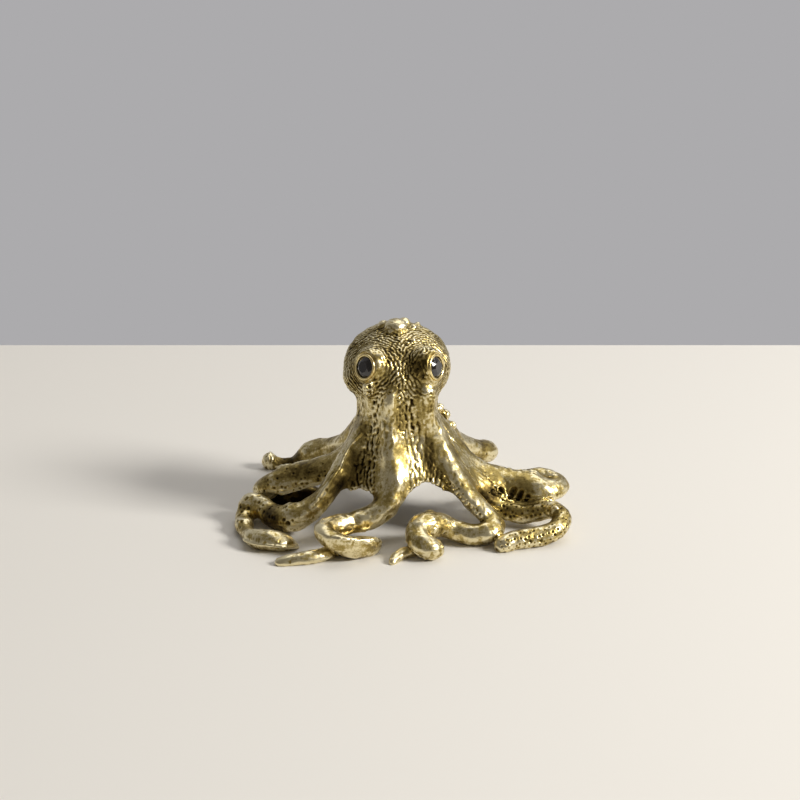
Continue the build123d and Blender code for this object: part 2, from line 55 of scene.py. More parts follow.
# Routes of the arms: across, depth, lift and girth at each row, from the neck to the tip
arms = {
    "arm_front_left": {
        "seat": 6,
        "rows": [
            (-0.070, -0.165, 0.660, 0.35), (-0.058, -0.184, 0.560, 0.60),
            (-0.050, -0.225, 0.440, 0.82), (-0.046, -0.290, 0.330, 0.98),
            (-0.053, -0.360, 0.235, 1.06), (-0.072, -0.415, 0.155, 1.04),
            (-0.135, -0.458, 0.096, 1.02), (-0.230, -0.496, 0.072, 0.97),
            (-0.335, -0.545, 0.072, 0.92), (-0.420, -0.612, 0.080, 0.88),
            (-0.446, -0.694, 0.084, 0.85), (-0.394, -0.756, 0.062, 0.88),
            (-0.306, -0.746, 0.030, 0.92), (-0.225, -0.700, 0.010, 0.92),
            (-0.182, -0.660, 0.004, 0.82), (-0.160, -0.636, 0.004, 0.58),
            (-0.148, -0.624, 0.008, 0.28),
        ],
        "tip": [
            (-0.200, -0.655, 0.010, 0.45), (-0.192, -0.590, 0.002, 0.52),
            (-0.235, -0.550, 0.000, 0.55), (-0.310, -0.585, 0.000, 0.54),
            (-0.385, -0.655, 0.000, 0.54), (-0.456, -0.737, 0.000, 0.57),
            (-0.550, -0.781, 0.000, 0.58), (-0.643, -0.800, 0.000, 0.47),
            (-0.705, -0.815, 0.003, 0.28), (-0.722, -0.820, 0.006, 0.14),
        ],
    },
    "arm_front_right": {
        "seat": 6,
        "rows": [
            (0.110, -0.125, 0.650, 0.35), (0.135, -0.130, 0.545, 0.62),
            (0.175, -0.154, 0.440, 0.84), (0.228, -0.197, 0.343, 0.96),
            (0.288, -0.256, 0.262, 1.00), (0.350, -0.309, 0.191, 1.00),
            (0.413, -0.353, 0.131, 0.98), (0.478, -0.390, 0.082, 0.96),
            (0.530, -0.438, 0.044, 0.94), (0.515, -0.505, 0.020, 0.94),
            (0.434, -0.520, 0.008, 0.95), (0.344, -0.497, 0.014, 0.94),
            (0.262, -0.490, 0.036, 0.93), (0.188, -0.535, 0.062, 0.93),
            (0.118, -0.595, 0.072, 0.94), (0.092, -0.655, 0.056, 0.94),
            (0.102, -0.708, 0.030, 0.92), (0.150, -0.726, 0.008, 0.88),
            (0.196, -0.712, 0.003, 0.68), (0.222, -0.700, 0.006, 0.34),
        ],
        "tip": [
            (0.125, -0.712, 0.024, 0.45), (0.070, -0.700, 0.012, 0.50),
            (0.012, -0.706, 0.004, 0.49), (-0.030, -0.752, 0.000, 0.43),
            (-0.056, -0.800, 0.000, 0.30), (-0.068, -0.820, 0.004, 0.14),
        ],
    },
    "arm_left_front": {
        "seat": 5,
        "rows": [
            (-0.175, -0.080, 0.520, 0.60), (-0.225, -0.112, 0.434, 0.83),
            (-0.281, -0.156, 0.355, 0.92), (-0.338, -0.206, 0.280, 0.98),
            (-0.388, -0.259, 0.212, 1.00), (-0.444, -0.306, 0.149, 1.00),
            (-0.512, -0.344, 0.094, 1.00), (-0.594, -0.370, 0.051, 1.04),
            (-0.684, -0.350, 0.024, 1.02), (-0.764, -0.276, 0.020, 0.98),
            (-0.825, -0.190, 0.030, 1.02), (-0.888, -0.140, 0.026, 1.00),
            (-0.932, -0.185, 0.008, 0.78), (-0.940, -0.275, 0.002, 0.74),
            (-0.922, -0.375, 0.000, 0.66), (-0.885, -0.478, 0.003, 0.74),
            (-0.831, -0.559, 0.004, 0.82), (-0.741, -0.584, 0.003, 0.86),
            (-0.666, -0.575, 0.000, 0.62), (-0.619, -0.562, 0.002, 0.30),
            (-0.606, -0.558, 0.006, 0.14),
        ],
    },
    "arm_left": {
        "seat": 4,
        "rows": [
            (-0.180, 0.031, 0.460, 0.60), (-0.252, 0.006, 0.355, 0.80),
            (-0.335, -0.019, 0.268, 0.90), (-0.420, -0.031, 0.208, 0.98),
            (-0.512, -0.028, 0.172, 1.03), (-0.606, -0.022, 0.150, 1.04),
            (-0.700, -0.031, 0.134, 1.00), (-0.775, -0.020, 0.118, 0.92),
            (-0.815, 0.035, 0.078, 0.84), (-0.805, 0.095, 0.034, 0.88),
            (-0.745, 0.118, 0.012, 0.95), (-0.665, 0.100, 0.010, 0.98),
            (-0.585, 0.092, 0.008, 0.94), (-0.520, 0.104, 0.004, 0.82),
            (-0.475, 0.124, 0.004, 0.58), (-0.455, 0.135, 0.008, 0.26),
        ],
    },
    "arm_left_rear": {
        "seat": 4,
        "rows": [
            (-0.150, 0.160, 0.520, 0.62), (-0.195, 0.220, 0.430, 0.82),
            (-0.235, 0.282, 0.342, 0.95), (-0.278, 0.356, 0.255, 1.02),
            (-0.335, 0.448, 0.176, 1.05), (-0.405, 0.545, 0.122, 1.06),
            (-0.492, 0.630, 0.076, 1.10), (-0.575, 0.690, 0.036, 1.05),
            (-0.652, 0.722, 0.008, 0.78), (-0.730, 0.735, 0.004, 0.52),
            (-0.798, 0.735, 0.002, 0.48), (-0.842, 0.735, 0.002, 0.55),
            (-0.872, 0.738, 0.002, 0.40), (-0.884, 0.740, 0.008, 0.18),
        ],
    },
    "arm_right_rear": {
        "seat": 4,
        "rows": [
            (0.120, 0.165, 0.520, 0.62), (0.172, 0.228, 0.430, 0.82),
            (0.218, 0.296, 0.342, 0.95), (0.268, 0.370, 0.258, 1.00),
            (0.332, 0.448, 0.184, 1.02), (0.408, 0.528, 0.128, 1.00),
            (0.484, 0.612, 0.092, 0.95), (0.537, 0.700, 0.062, 0.90),
            (0.515, 0.764, 0.034, 0.86), (0.430, 0.779, 0.012, 0.82),
            (0.338, 0.750, 0.002, 0.79), (0.250, 0.722, 0.001, 0.75),
            (0.160, 0.722, 0.000, 0.68), (0.088, 0.768, 0.000, 0.56),
            (0.032, 0.808, 0.002, 0.36), (0.012, 0.822, 0.006, 0.16),
        ],
    },
    "arm_right": {
        "seat": 4,
        "rows": [
            (0.180, 0.031, 0.480, 0.62), (0.250, 0.006, 0.392, 0.80),
            (0.325, -0.038, 0.300, 0.90), (0.412, -0.069, 0.220, 0.96),
            (0.506, -0.081, 0.166, 0.98), (0.606, -0.094, 0.134, 0.96),
            (0.712, -0.119, 0.124, 0.96), (0.822, -0.138, 0.118, 0.92),
            (0.908, -0.100, 0.112, 0.84), (0.938, -0.016, 0.114, 0.79),
            (0.885, 0.062, 0.120, 0.78), (0.791, 0.088, 0.118, 0.78),
            (0.700, 0.084, 0.104, 0.75), (0.612, 0.078, 0.086, 0.70),
            (0.530, 0.074, 0.072, 0.60), (0.455, 0.058, 0.072, 0.50),
            (0.428, 0.050, 0.080, 0.26),
        ],
    },
    "arm_right_front": {
        "seat": 3,
        "rows": [
            (0.275, -0.110, 0.325, 0.70), (0.350, -0.150, 0.240, 0.82),
            (0.422, -0.178, 0.172, 0.83), (0.488, -0.188, 0.108, 0.83),
            (0.556, -0.195, 0.060, 0.80), (0.638, -0.212, 0.034, 0.78),
            (0.725, -0.238, 0.030, 0.78), (0.812, -0.262, 0.048, 0.78),
            (0.892, -0.296, 0.074, 0.74), (0.937, -0.372, 0.062, 0.70),
            (0.905, -0.455, 0.026, 0.74), (0.828, -0.505, 0.008, 0.75),
            (0.734, -0.535, 0.002, 0.75), (0.644, -0.568, 0.001, 0.72),
            (0.578, -0.612, 0.000, 0.58), (0.552, -0.635, 0.004, 0.32),
        ],
    },
}


def addNode(tree, kind, inputs=None, **settings):
    # a node with its settings, and its inputs set or linked by name or number
    node = tree.nodes.new(kind)
    for name, value in settings.items():
        setattr(node, name, value)
    for key, value in (inputs or {}).items():
        if isinstance(key, int):
            socket = node.inputs[key]
        else:
            socket = next(s for s in node.inputs if s.name == key and s.enabled)
        if isinstance(value, bpy.types.Node):
            value = next(s for s in value.outputs if s.enabled)
        if isinstance(value, bpy.types.NodeSocket):
            tree.links.new(value, socket)
        else:
            socket.default_value = value
    return node


def calc(tree, operation, a, b=0.0, c=0.0, clamp=False):
    # one sum or comparison of numbers
    inputs = {0: a, 1: b, 2: c}
    return addNode(tree, "ShaderNodeMath", inputs, operation=operation, use_clamp=clamp)


def vectorCalc(tree, operation, a, b):
    # one sum of vectors, or a vector times a number
    second = "Scale" if operation == "SCALE" else 1
    node = addNode(tree, "ShaderNodeVectorMath", {0: a, second: b}, operation=operation)
    return node.outputs["Value" if operation in ("DOT_PRODUCT", "DISTANCE") else "Vector"]


def mixed(tree, factor, a, b, kind="FLOAT"):
    # a, b or what lies between them
    return addNode(tree, "ShaderNodeMix", {"Factor": factor, "A": a, "B": b}, data_type=kind)


def named(tree, name, kind="FLOAT"):
    # what the points of a piece keep under a name
    return addNode(tree, "GeometryNodeInputNamedAttribute", {"Name": name}, data_type=kind)


def stored(tree, geometry, name, value):
    # a number that the points keep under a name from here on
    inputs = {"Geometry": geometry, "Name": name, "Value": value}
    kind = "GeometryNodeStoreNamedAttribute"
    return addNode(tree, kind, inputs, data_type="FLOAT", domain="POINT")


def blurred(tree, value, rounds, kind="FLOAT"):
    # a value evened out with its neighbours, round after round
    inputs = {"Value": value, "Iterations": rounds}
    return addNode(tree, "GeometryNodeBlurAttribute", inputs, data_type=kind)


def pushed(tree, geometry, distance):
    # every point moved along its normal
    shift = vectorCalc(tree, "SCALE", addNode(tree, "GeometryNodeInputNormal"), distance)
    return addNode(tree, "GeometryNodeSetPosition", {"Geometry": geometry, "Offset": shift})


def newTree(name, sizes):
    # a geometry tree with a named input for each size
    tree = bpy.data.node_groups.new(name, "GeometryNodeTree")
    for way in ("INPUT", "OUTPUT"):
        tree.interface.new_socket(name="Geometry", in_out=way, socket_type="NodeSocketGeometry")
    for label, value in sizes.items():
        kind = "NodeSocketInt" if isinstance(value, int) else "NodeSocketFloat"
        kind = "NodeSocketObject" if isinstance(value, bpy.types.Object) else kind
        socket = tree.interface.new_socket(name=label, in_out="INPUT", socket_type=kind)
        socket.default_value = value
    return tree, tree.nodes.new("NodeGroupInput"), tree.nodes.new("NodeGroupOutput")


def endTree(tree, last, groupOut, material):
    # every tree ends in real geometry with its material
    real = addNode(tree, "GeometryNodeRealizeInstances", {"Geometry": last})
    painted = addNode(tree, "GeometryNodeSetMaterial", {"Geometry": real, "Material": material})
    tree.links.new(painted.outputs[0], groupOut.inputs[0])


def runTree(piece, tree, sizes):
    # the tree's result as the piece's own plain mesh
    modifier = piece.modifiers.new(tree.name, "NODES")
    modifier.node_group = tree
    for item in tree.interface.items_tree:
        if item.in_out == "INPUT" and item.name in sizes:
            modifier[item.identifier] = sizes[item.name]
    settle(piece)


def settle(piece):
    # the evaluated mesh takes the modifiers' place
    bpy.context.view_layer.update()
    graph = bpy.context.evaluated_depsgraph_get()
    mesh = bpy.data.meshes.new_from_object(
        piece.evaluated_get(graph), preserve_all_data_layers=True, depsgraph=graph
    )
    piece.modifiers.clear()
    piece.data = mesh


def linked(name, data):
    # an object of its own in the scene
    piece = bpy.data.objects.new(name, data)
    bpy.context.scene.collection.objects.link(piece)
    return piece


def newPiece(name, points, edges, faces):
    mesh = bpy.data.meshes.new(name)
    mesh.from_pydata(points, edges, faces)
    return linked(name, mesh)


def pieceOf(name, work):
    # what was worked out as a loose mesh, as a piece
    mesh = bpy.data.meshes.new(name)
    work.to_mesh(mesh)
    work.free()
    return linked(name, mesh)


def keepValues(mesh, name, values):
    # values on the points of a mesh, one number or one vector each
    values = np.asarray(values, dtype=np.float32)
    kind, slot = ("FLOAT_VECTOR", "vector") if values.ndim == 2 else ("FLOAT", "value")
    if name in mesh.attributes:
        mesh.attributes.remove(mesh.attributes[name])
    mesh.attributes.new(name, kind, "POINT").data.foreach_set(slot, values.ravel())


def readValues(mesh, name):
    data = np.empty(len(mesh.vertices), dtype=np.float32)
    mesh.attributes[name].data.foreach_get("value", data)
    return data.astype(np.float64)


def vectorsOf(source, key, count):
    flat = np.empty(count * 3, dtype=np.float32)
    source.foreach_get(key, flat)
    return flat.reshape(-1, 3).astype(np.float64)


def pointsOf(mesh):
    return vectorsOf(mesh.vertices, "co", len(mesh.vertices))


def normalsOf(mesh):
    return vectorsOf(mesh.vertex_normals, "vector", len(mesh.vertices))


def setPoints(mesh, points):
    mesh.vertices.foreach_set("co", points.astype(np.float32).ravel())
    mesh.update()


def smoothShaded(mesh):
    mesh.polygons.foreach_set("use_smooth", [True] * len(mesh.polygons))


def ease(low, high, value):
    # 0 below low, 1 above high, smooth between
    t = np.clip((value - low) / (high - low), 0, 1)
    return t * t * (3 - 2 * t)


def nearness(points, centre, sizes, inner, outer):
    # 1 inside an egg round the centre and 0 outside it, smooth between
    off = (points - np.array(centre)) / np.array(sizes)
    return 1 - ease(inner, outer, np.linalg.norm(off, axis=1))


def nearBall(points, centre, radius, inner, outer):
    # the same for a ball, in its own radii
    return 1 - ease(inner, outer, np.linalg.norm(points - np.array(centre), axis=1) / radius)


def wayTo(side, height):
    # the direction so many degrees to the side of the face and above the table
    turn, rise = math.radians(side), math.radians(height)
    return math.sin(turn) * math.cos(rise), -math.cos(turn) * math.cos(rise), math.sin(rise)


def toLinear(code):
    # an sRGB hex colour as the linear colour of a socket
    parts = [int(code[i : i + 2], 16) / 255 for i in (1, 3, 5)]
    return [p / 12.92 if p <= 0.04045 else ((p + 0.055) / 1.055) ** 2.4 for p in parts] + [1.0]


def newMaterial(name):
    # an empty material, its tree and the place on the object
    material = bpy.data.materials.new(name)
    material.use_nodes = True
    tree = material.node_tree
    tree.nodes.clear()
    return material, tree, addNode(tree, "ShaderNodeTexCoord").outputs["Object"]


def clouds(tree, vector, size, detail, roughness=0.5):
    inputs = {"Vector": vector, "Scale": 1 / size, "Detail": detail, "Roughness": roughness}
    return addNode(tree, "ShaderNodeTexNoise", inputs).outputs[0]


def coloured(tree, value, stops):
    # hex colours along the value: place, colour
    ramp = addNode(tree, "ShaderNodeValToRGB", {0: value})
    elements = ramp.color_ramp.elements
    for element, (position, code) in ((elements[0], stops[0]), (elements[1], stops[-1])):
        element.position, element.color = position, toLinear(code)
    for position, code in stops[1:-1]:
        elements.new(position).color = toLinear(code)
    return ramp.outputs[0]


def ranged(tree, value, low, high):
    inputs = {"Value": value, "To Min": low, "To Max": high}
    return addNode(tree, "ShaderNodeMapRange", inputs).outputs[0]


def finishMaterial(tree, inputs):
    shader = addNode(tree, "ShaderNodeBsdfPrincipled", inputs)
    addNode(tree, "ShaderNodeOutputMaterial", {"Surface": shader.outputs[0]})


# Antique brass: sand-cast brass, blackened in a bath and rubbed bright on its high places.
# The eye sees warm pale gold on what a thumb reaches and brown to black in every pit; painted
# shade under the web, in the corners and on the listed dark places is mixed into the same dark
# colour.
patina = {
    "colours": [(0.0, "#EBDFB6"), (0.22, "#B29E60"), (0.55, "#6A5A30"), (1.0, "#20180D")],
    "brightRoughness": 0.29,
    "darkRoughness": 0.55,
    "tone": 0.10,  # how much of the black stays everywhere
    "patchSize": 5.0,  # mm across a cloud of patina
    "patchFrom": 0.42,  # clouds thinner than this leave no patina
    "patchTo": 0.68,
    "patchShare": 0.42,  # how much black a full cloud adds
    "grainSize": 0.35,  # mm of the sand's grain
    "grainShare": 0.55,
    "grainBump": 0.35,
    "grainDepth": 0.03,  # mm
}


def antiqueBrass():
    material, tree, place = newMaterial("antiqueCastBrass")
    inMm = vectorCalc(tree, "SCALE", place, 1 / metresPerMm)
    patinaAndShade, rubbed = (
        addNode(tree, "ShaderNodeAttribute", attribute_name=name).outputs["Fac"]
        for name in ("patinaAndShade", "rubbed")
    )
    patches = clouds(tree, inMm, patina["patchSize"], 4.0, 0.62)
    grain = clouds(tree, inMm, patina["grainSize"], 3.0, 0.6)
    # darkness = patina and painted shade of the skin + clouds of patina + a little grain, less
    # where it is rubbed
    limits = {"Value": patches, "From Min": patina["patchFrom"], "From Max": patina["patchTo"]}
    cloudy = addNode(tree, "ShaderNodeMapRange", limits).outputs[0]
    patinaAndShade = calc(tree, "ADD", patinaAndShade, patina["tone"])
    patinaAndShadeLevel = calc(tree, "MULTIPLY_ADD", cloudy, patina["patchShare"], patinaAndShade)
    sand = calc(tree, "SUBTRACT", grain, 0.5)
    patinaAndShadeLevel = calc(tree, "MULTIPLY_ADD", sand, patina["grainShare"], patinaAndShadeLevel)
    patinaAndShadeLevel = calc(tree, "SUBTRACT", patinaAndShadeLevel, rubbed, clamp=True)
    bumps = {
        "Height": grain,
        "Strength": patina["grainBump"],
        "Distance": patina["grainDepth"] * metresPerMm,
    }
    finishMaterial(tree, {
        "Base Color": coloured(tree, patinaAndShadeLevel, patina["colours"]),
        "Metallic": 1.0,
        "Roughness": ranged(tree, patinaAndShadeLevel, patina["brightRoughness"], patina["darkRoughness"]),
        "Normal": addNode(tree, "ShaderNodeBump", bumps),
    })
    return material


# Polished brass of the bezels: turned, then buffed, so it keeps a clean warm shine
bezelFinish = {
    "colours": [(0.25, "#C0A25C"), (0.55, "#F2DFA4")],
    "wearSize": 1.2,  # mm across a worn place
    "dull": 0.34,
    "shiny": 0.16,
}


def polishedBrass():
    material, tree, place = newMaterial("buffedBrass")
    wear = clouds(tree, place, bezelFinish["wearSize"] * metresPerMm, 3.0)
    finishMaterial(tree, {
        "Base Color": coloured(tree, wear, bezelFinish["colours"]),
        "Metallic": 1.0,
        "Roughness": ranged(tree, wear, bezelFinish["dull"], bezelFinish["shiny"]),
    })
    return material


# Smoky black stone, cut and polished: nearly opaque, with a sharp wet shine on each facet
stoneFinish = {
    "colours": [(0.3, "#090707"), (0.75, "#221B18")],
    "veilSize": 1.6,  # mm across a veil in the stone
    "roughness": 0.06,
    "bend": 1.62,  # index of refraction
    "coat": 0.4,
}


def smokyStone():
    material, tree, place = newMaterial("smokyCutStone")
    veil = clouds(tree, place, stoneFinish["veilSize"] * metresPerMm, 2.0)
    finishMaterial(tree, {
        "Base Color": coloured(tree, veil, stoneFinish["colours"]),
        "Roughness": stoneFinish["roughness"],
        "IOR": stoneFinish["bend"],
        "Coat Weight": stoneFinish["coat"],
    })
    return material


brass = antiqueBrass()
bezelBrass = polishedBrass()
stoneGlass = smokyStone()
print("materials ready")


def placedRows(rows):
    # rows as millimetres: the underside rests on the ground where the lift is zero
    placed = []
    for across, depth, lift, girth in rows:
        radius = girth * figure["armRadius"]
        height = radius - figure["groundIn"] + lift * figure["height"]
        placed.append((across * figure["halfSpan"], depth * figure["halfSpan"], height, radius))
    return np.array(placed)


# Section of an arm from the row on: row, width, thickness, roll in degrees, sharpness of its edges
armShapes = {
    "arm_front_left": [
        (0, 1.0, 1.0, 0, 0), (4, 1.15, 0.95, 0, 0), (6, 1.12, 1.0, 0, 0), (8, 0.92, 1.0, 0, 0),
        (10, 1.10, 0.95, 30, 0.3), (12, 1.45, 0.84, 50, 0.7), (14, 1.45, 0.90, 45, 0.6),
        (16, 1.1, 1.0, 20, 0.2),
    ],
    "arm_front_left_tip": [
        (0, 1.0, 1.0, 0, 0), (4, 1.25, 0.95, 10, 0.3), (6, 1.15, 0.9, 15, 0.3),
        (8, 1.35, 1.05, 20, 0.2), (9, 1.2, 1.0, 0, 0),
    ],
    "arm_front_right": [
        (0, 1.0, 1.0, 0, 0), (4, 1.20, 0.90, 15, 0.3), (7, 1.34, 0.84, 22, 0.6),
        (9, 1.05, 0.95, 0, 0.2), (11.5, 0.98, 0.94, 0, 0), (13.6, 1.30, 1.22, 0, 0.05),
        (15.2, 1.05, 1.0, 0, 0.1), (17.5, 1.25, 1.12, 0, 0.1), (19, 1.2, 1.1, 0, 0),
    ],
    "arm_front_right_tip": [
        (0, 1.0, 1.0, 0, 0), (3, 1.20, 0.95, 15, 0.35), (5, 1.0, 1.0, 0, 0),
    ],
    "arm_left_front": [
        (0, 0.9, 1.0, 0, 0), (2, 1.22, 0.86, -62, 0.6), (5, 1.36, 0.84, -58, 0.9),
        (6.5, 1.20, 1.05, -30, 0.35), (7.5, 1.22, 1.15, 0, 0), (9, 1.0, 1.0, 0, 0),
        (10.2, 0.90, 0.90, 0, 0), (11.6, 1.18, 1.16, 0, 0), (12.8, 0.86, 0.82, 0, 0),
        (13.6, 1.12, 1.05, 0, 0), (14.6, 0.85, 0.85, 0, 0),
        (16, 1.25, 1.0, 0, 0.3), (18, 1.42, 0.95, 0, 0.6), (20, 1.2, 0.9, 0, 0.4),
    ],
    "arm_left": [
        (0, 1.0, 1.0, 0, 0), (3, 1.25, 0.80, 38, 0.5), (6.2, 1.38, 0.74, 42, 0.8),
        (7.1, 1.06, 0.84, 30, 0.3), (8.1, 1.45, 1.25, 15, 0.2), (9.4, 1.1, 1.0, 0, 0),
        (15, 1.1, 1.0, 0, 0),
    ],
    "arm_left_rear": [
        (0, 1.0, 1.0, 0, 0), (4, 1.1, 1.05, 0, 0), (5.4, 0.95, 0.95, 0, 0), (7, 1.2, 1.12, 0, 0),
        (8.6, 1.0, 0.9, 0, 0.2), (11, 1.5, 1.45, 0, 0), (13, 1.2, 1.2, 0, 0),
    ],
    "arm_right_rear": [
        (0, 1.0, 1.0, 0, 0), (4, 1.1, 1.0, 0, 0), (7, 1.2, 1.1, 0, 0.1), (10, 1.1, 0.95, 0, 0.2),
        (12, 1.2, 1.1, 0, 0), (15, 1.1, 1.0, 0, 0),
    ],
    "arm_right": [
        (0, 1.0, 1.0, 0, 0), (3, 1.20, 0.95, -20, 0.2), (5, 1.62, 0.92, -42, 0.4),
        (6.5, 1.68, 0.92, -46, 0.45), (8, 1.22, 1.0, -20, 0.3), (10, 1.15, 1.05, 0, 0.1),
        (13, 1.1, 0.9, 0, 0.1), (16, 1.1, 1.0, 0, 0),
    ],
    "arm_right_front": [
        (0, 1.0, 1.0, 0, 0), (4, 1.10, 1.0, -20, 0.1), (6, 1.2, 1.0, -30, 0.2),
        (8, 1.1, 1.0, -10, 0.15), (11, 1.2, 1.05, 25, 0.2), (14, 1.25, 1.05, 25, 0.2),
        (15, 1.1, 1.0, 0, 0),
    ],
}


# Skin of the arms, swept along their routes
sweep = {
    "stepsPerRow": 8,
    "Sides": 28,
    "lieBelow": 0.4,  # an arm this low lies flat on the ground
    "liftAbove": 2.2,  # and one this high doesn't
}


def smoothRoute(rows, shape, reference=(0.0, 0.0, 1.0)):
    # the cubic through the rows, with its section at every step
    perRow = sweep["stepsPerRow"]
    padded = np.vstack([rows[0], rows, rows[-1]])
    steps = []
    for i in range(1, len(padded) - 2):
        p, q, r, s = padded[i - 1 : i + 3]
        for k in range(perRow):
            t = k / perRow
            steps.append(
                q + t / 2 * (r - p + t * (2 * p - 5 * q + 4 * r - s + t * (3 * (q - r) + s - p)))
            )
    steps.append(rows[-1])
    steps = np.array(steps)
    centre, radius = steps[:, :3], steps[:, 3]
    ahead = np.gradient(centre, axis=0)
    ahead /= np.linalg.norm(ahead, axis=1)[:, None]
    side = np.cross(ahead, reference)
    side /= np.linalg.norm(side, axis=1)[:, None]
    up = np.cross(side, ahead)
    row = np.arange(len(centre)) / perRow
    stations = np.array(shape)
    wide, thick, roll, edge = (
        np.interp(row, stations[:, 0], stations[:, k]) for k in range(1, 5)
    )
    low = 1 - ease(sweep["lieBelow"], sweep["liftAbove"], centre[:, 2] - radius)
    centre[:, 2] -= (1 - thick) * radius * low  # a flattened arm still lies on the ground
    turn = np.radians(roll)[:, None]
    across = side * np.cos(turn) + up * np.sin(turn)
    over = up * np.cos(turn) - side * np.sin(turn)
    gaps = np.linalg.norm(np.diff(centre, axis=0), axis=1)
    along = np.concatenate([[0], np.cumsum(gaps)])
    return {
        "centre": centre,
        "radius": radius,
        "ahead": ahead,
        "side": side,
        "up": up,
        "across": across,
        "over": over,
        "reach": radius * wide,
        "rise": radius * thick,
        "edge": edge,
        "along": along,
        "row": row,
    }


def routePiece(name, routes):
    # one line of points for each route, which carries its sizes
    points, edges = [], []
    for route in routes:
        first = len(points)
        points += route["centre"].tolist()
        edges += [(i, i + 1) for i in range(first, len(points) - 1)]
    piece = newPiece(name, points, edges, [])
    for key in ("centre", "across", "over", "reach", "rise", "edge"):
        keepValues(piece.data, key, np.concatenate([route[key] for route in routes]))
    return piece


def sweepTree():
    tree, groupIn, groupOut = newTree("armSkin", {"Sides": sweep["Sides"]})
    line = addNode(tree, "GeometryNodeMeshToCurve", {"Mesh": groupIn.outputs["Geometry"]})
    hoop = {"Resolution": groupIn.outputs["Sides"], "Radius": 1.0}
    hoop = addNode(tree, "GeometryNodeCurvePrimitiveCircle", hoop)
    turn = addNode(tree, "GeometryNodeSplineParameter").outputs["Factor"]
    turn = calc(tree, "MULTIPLY", turn, 2 * math.pi)
    hoop = stored(tree, hoop.outputs["Curve"], "turn", turn)
    tube = {"Curve": line, "Profile Curve": hoop, "Fill Caps": True}
    tube = addNode(tree, "GeometryNodeCurveToMesh", tube)
    steps = []
    for axis, size, wave in (("across", "reach", "COSINE"), ("over", "rise", "SINE")):
        swing = calc(tree, wave, named(tree, "turn"))
        if wave == "SINE":  # the section draws to an edge at both ends of its width
            thin = calc(tree, "POWER", calc(tree, "ABSOLUTE", swing), named(tree, "edge"))
            swing = calc(tree, "MULTIPLY", swing, thin)
        share = calc(tree, "MULTIPLY", swing, named(tree, size))
        steps.append(vectorCalc(tree, "SCALE", named(tree, axis, "FLOAT_VECTOR"), share))
    offset = vectorCalc(tree, "ADD", *steps)
    place = vectorCalc(tree, "ADD", named(tree, "centre", "FLOAT_VECTOR"), offset)
    skin = addNode(tree, "GeometryNodeSetPosition", {"Geometry": tube, "Position": place})
    endTree(tree, skin, groupOut, brass)
    return tree


routes = {}
for number, (armName, arm) in enumerate(arms.items(), 1):
    route = smoothRoute(placedRows(arm["rows"]), armShapes[armName])
    route["casting"] = np.where(route["row"] >= arm["seat"], number, 0)
    routes[armName] = route
    if "tip" in arm:
        tipName = armName + "_tip"
        tip = smoothRoute(placedRows(arm["tip"]), armShapes[tipName])
        tip["casting"] = np.full(len(tip["row"]), number)
        routes[tipName] = tip
armTube = sweepTree()

# How an arm passes from the body to its own skin, in rows from its seat
passing = {
    "skinFrom": 0.5,  # its own skin starts so far before the seat
    "thinnest": 0.78,
    "swell": 0.22,
    "swellFrom": 0.3,
    "swellTo": 2.6,
    "rootRows": 2.5,  # how far past its seat each root runs with the body
    "taperRows": 1.3,
    "taper": 0.25,
}


def belowTrunk(armName, route):
    # the arm from its seat on, thinner where the trunk still covers it
    if armName not in arms:
        return route
    seat = arms[armName]["seat"]
    kept = {k: v[route["row"] >= seat - passing["skinFrom"]] for k, v in route.items()}
    past = ease(seat + passing["swellFrom"], seat + passing["swellTo"], kept["row"])
    swell = passing["thinnest"] + passing["swell"] * past
    for key in ("reach", "rise"):
        kept[key] = kept[key] * swell
    return kept


armSkins = routePiece("armSkins", [belowTrunk(name, route) for name, route in routes.items()])
runTree(armSkins, armTube, sweep)
print("arms swept:", len(armSkins.data.vertices), "points")

# Mantle, an egg that leans back, with swellings on it: place, half sizes
mantle = {
    "centre": (-0.9, 2.6, 29.0),
    "halfSizes": (10.2, 10.8, 7.5),
    "lean": 0.25,
    "swellings": [
        ((-5.6, -4.6, 31.2), (3.5, 3.4, 3.5)),  # behind the left eye
        ((5.0, -4.9, 31.2), (3.4, 3.4, 3.5)),  # behind the right eye
        ((-4.8, -5.0, 32.6), (2.6, 2.3, 2.2)),  # brow of the left eye
        ((4.2, -5.2, 32.4), (2.7, 2.6, 2.6)),  # brow of the right eye
        ((-8.1, -0.4, 27.8), (3.1, 3.6, 3.6)),  # jowl at the left
    ],
    "crown": [
        (-0.036, 0.080, 2.00), (-0.062, 0.030, 0.80), (-0.105, 0.130, 1.10),
        (0.068, 0.120, 0.60), (0.010, 0.170, 1.20), (0.090, 0.220, 0.60),
    ],
    "wartRadius": 1.15,
    "wartLift": 0.05,  # in its own radii
    "wartFlat": 0.75,
    "faceWart": ((-6.1, -6.9, 27.7), (1.3, 1.5, 1.8)),
    "faceWartReach": 1.4,
    "settling": 12,  # rounds that find the height of the leaning crown
}

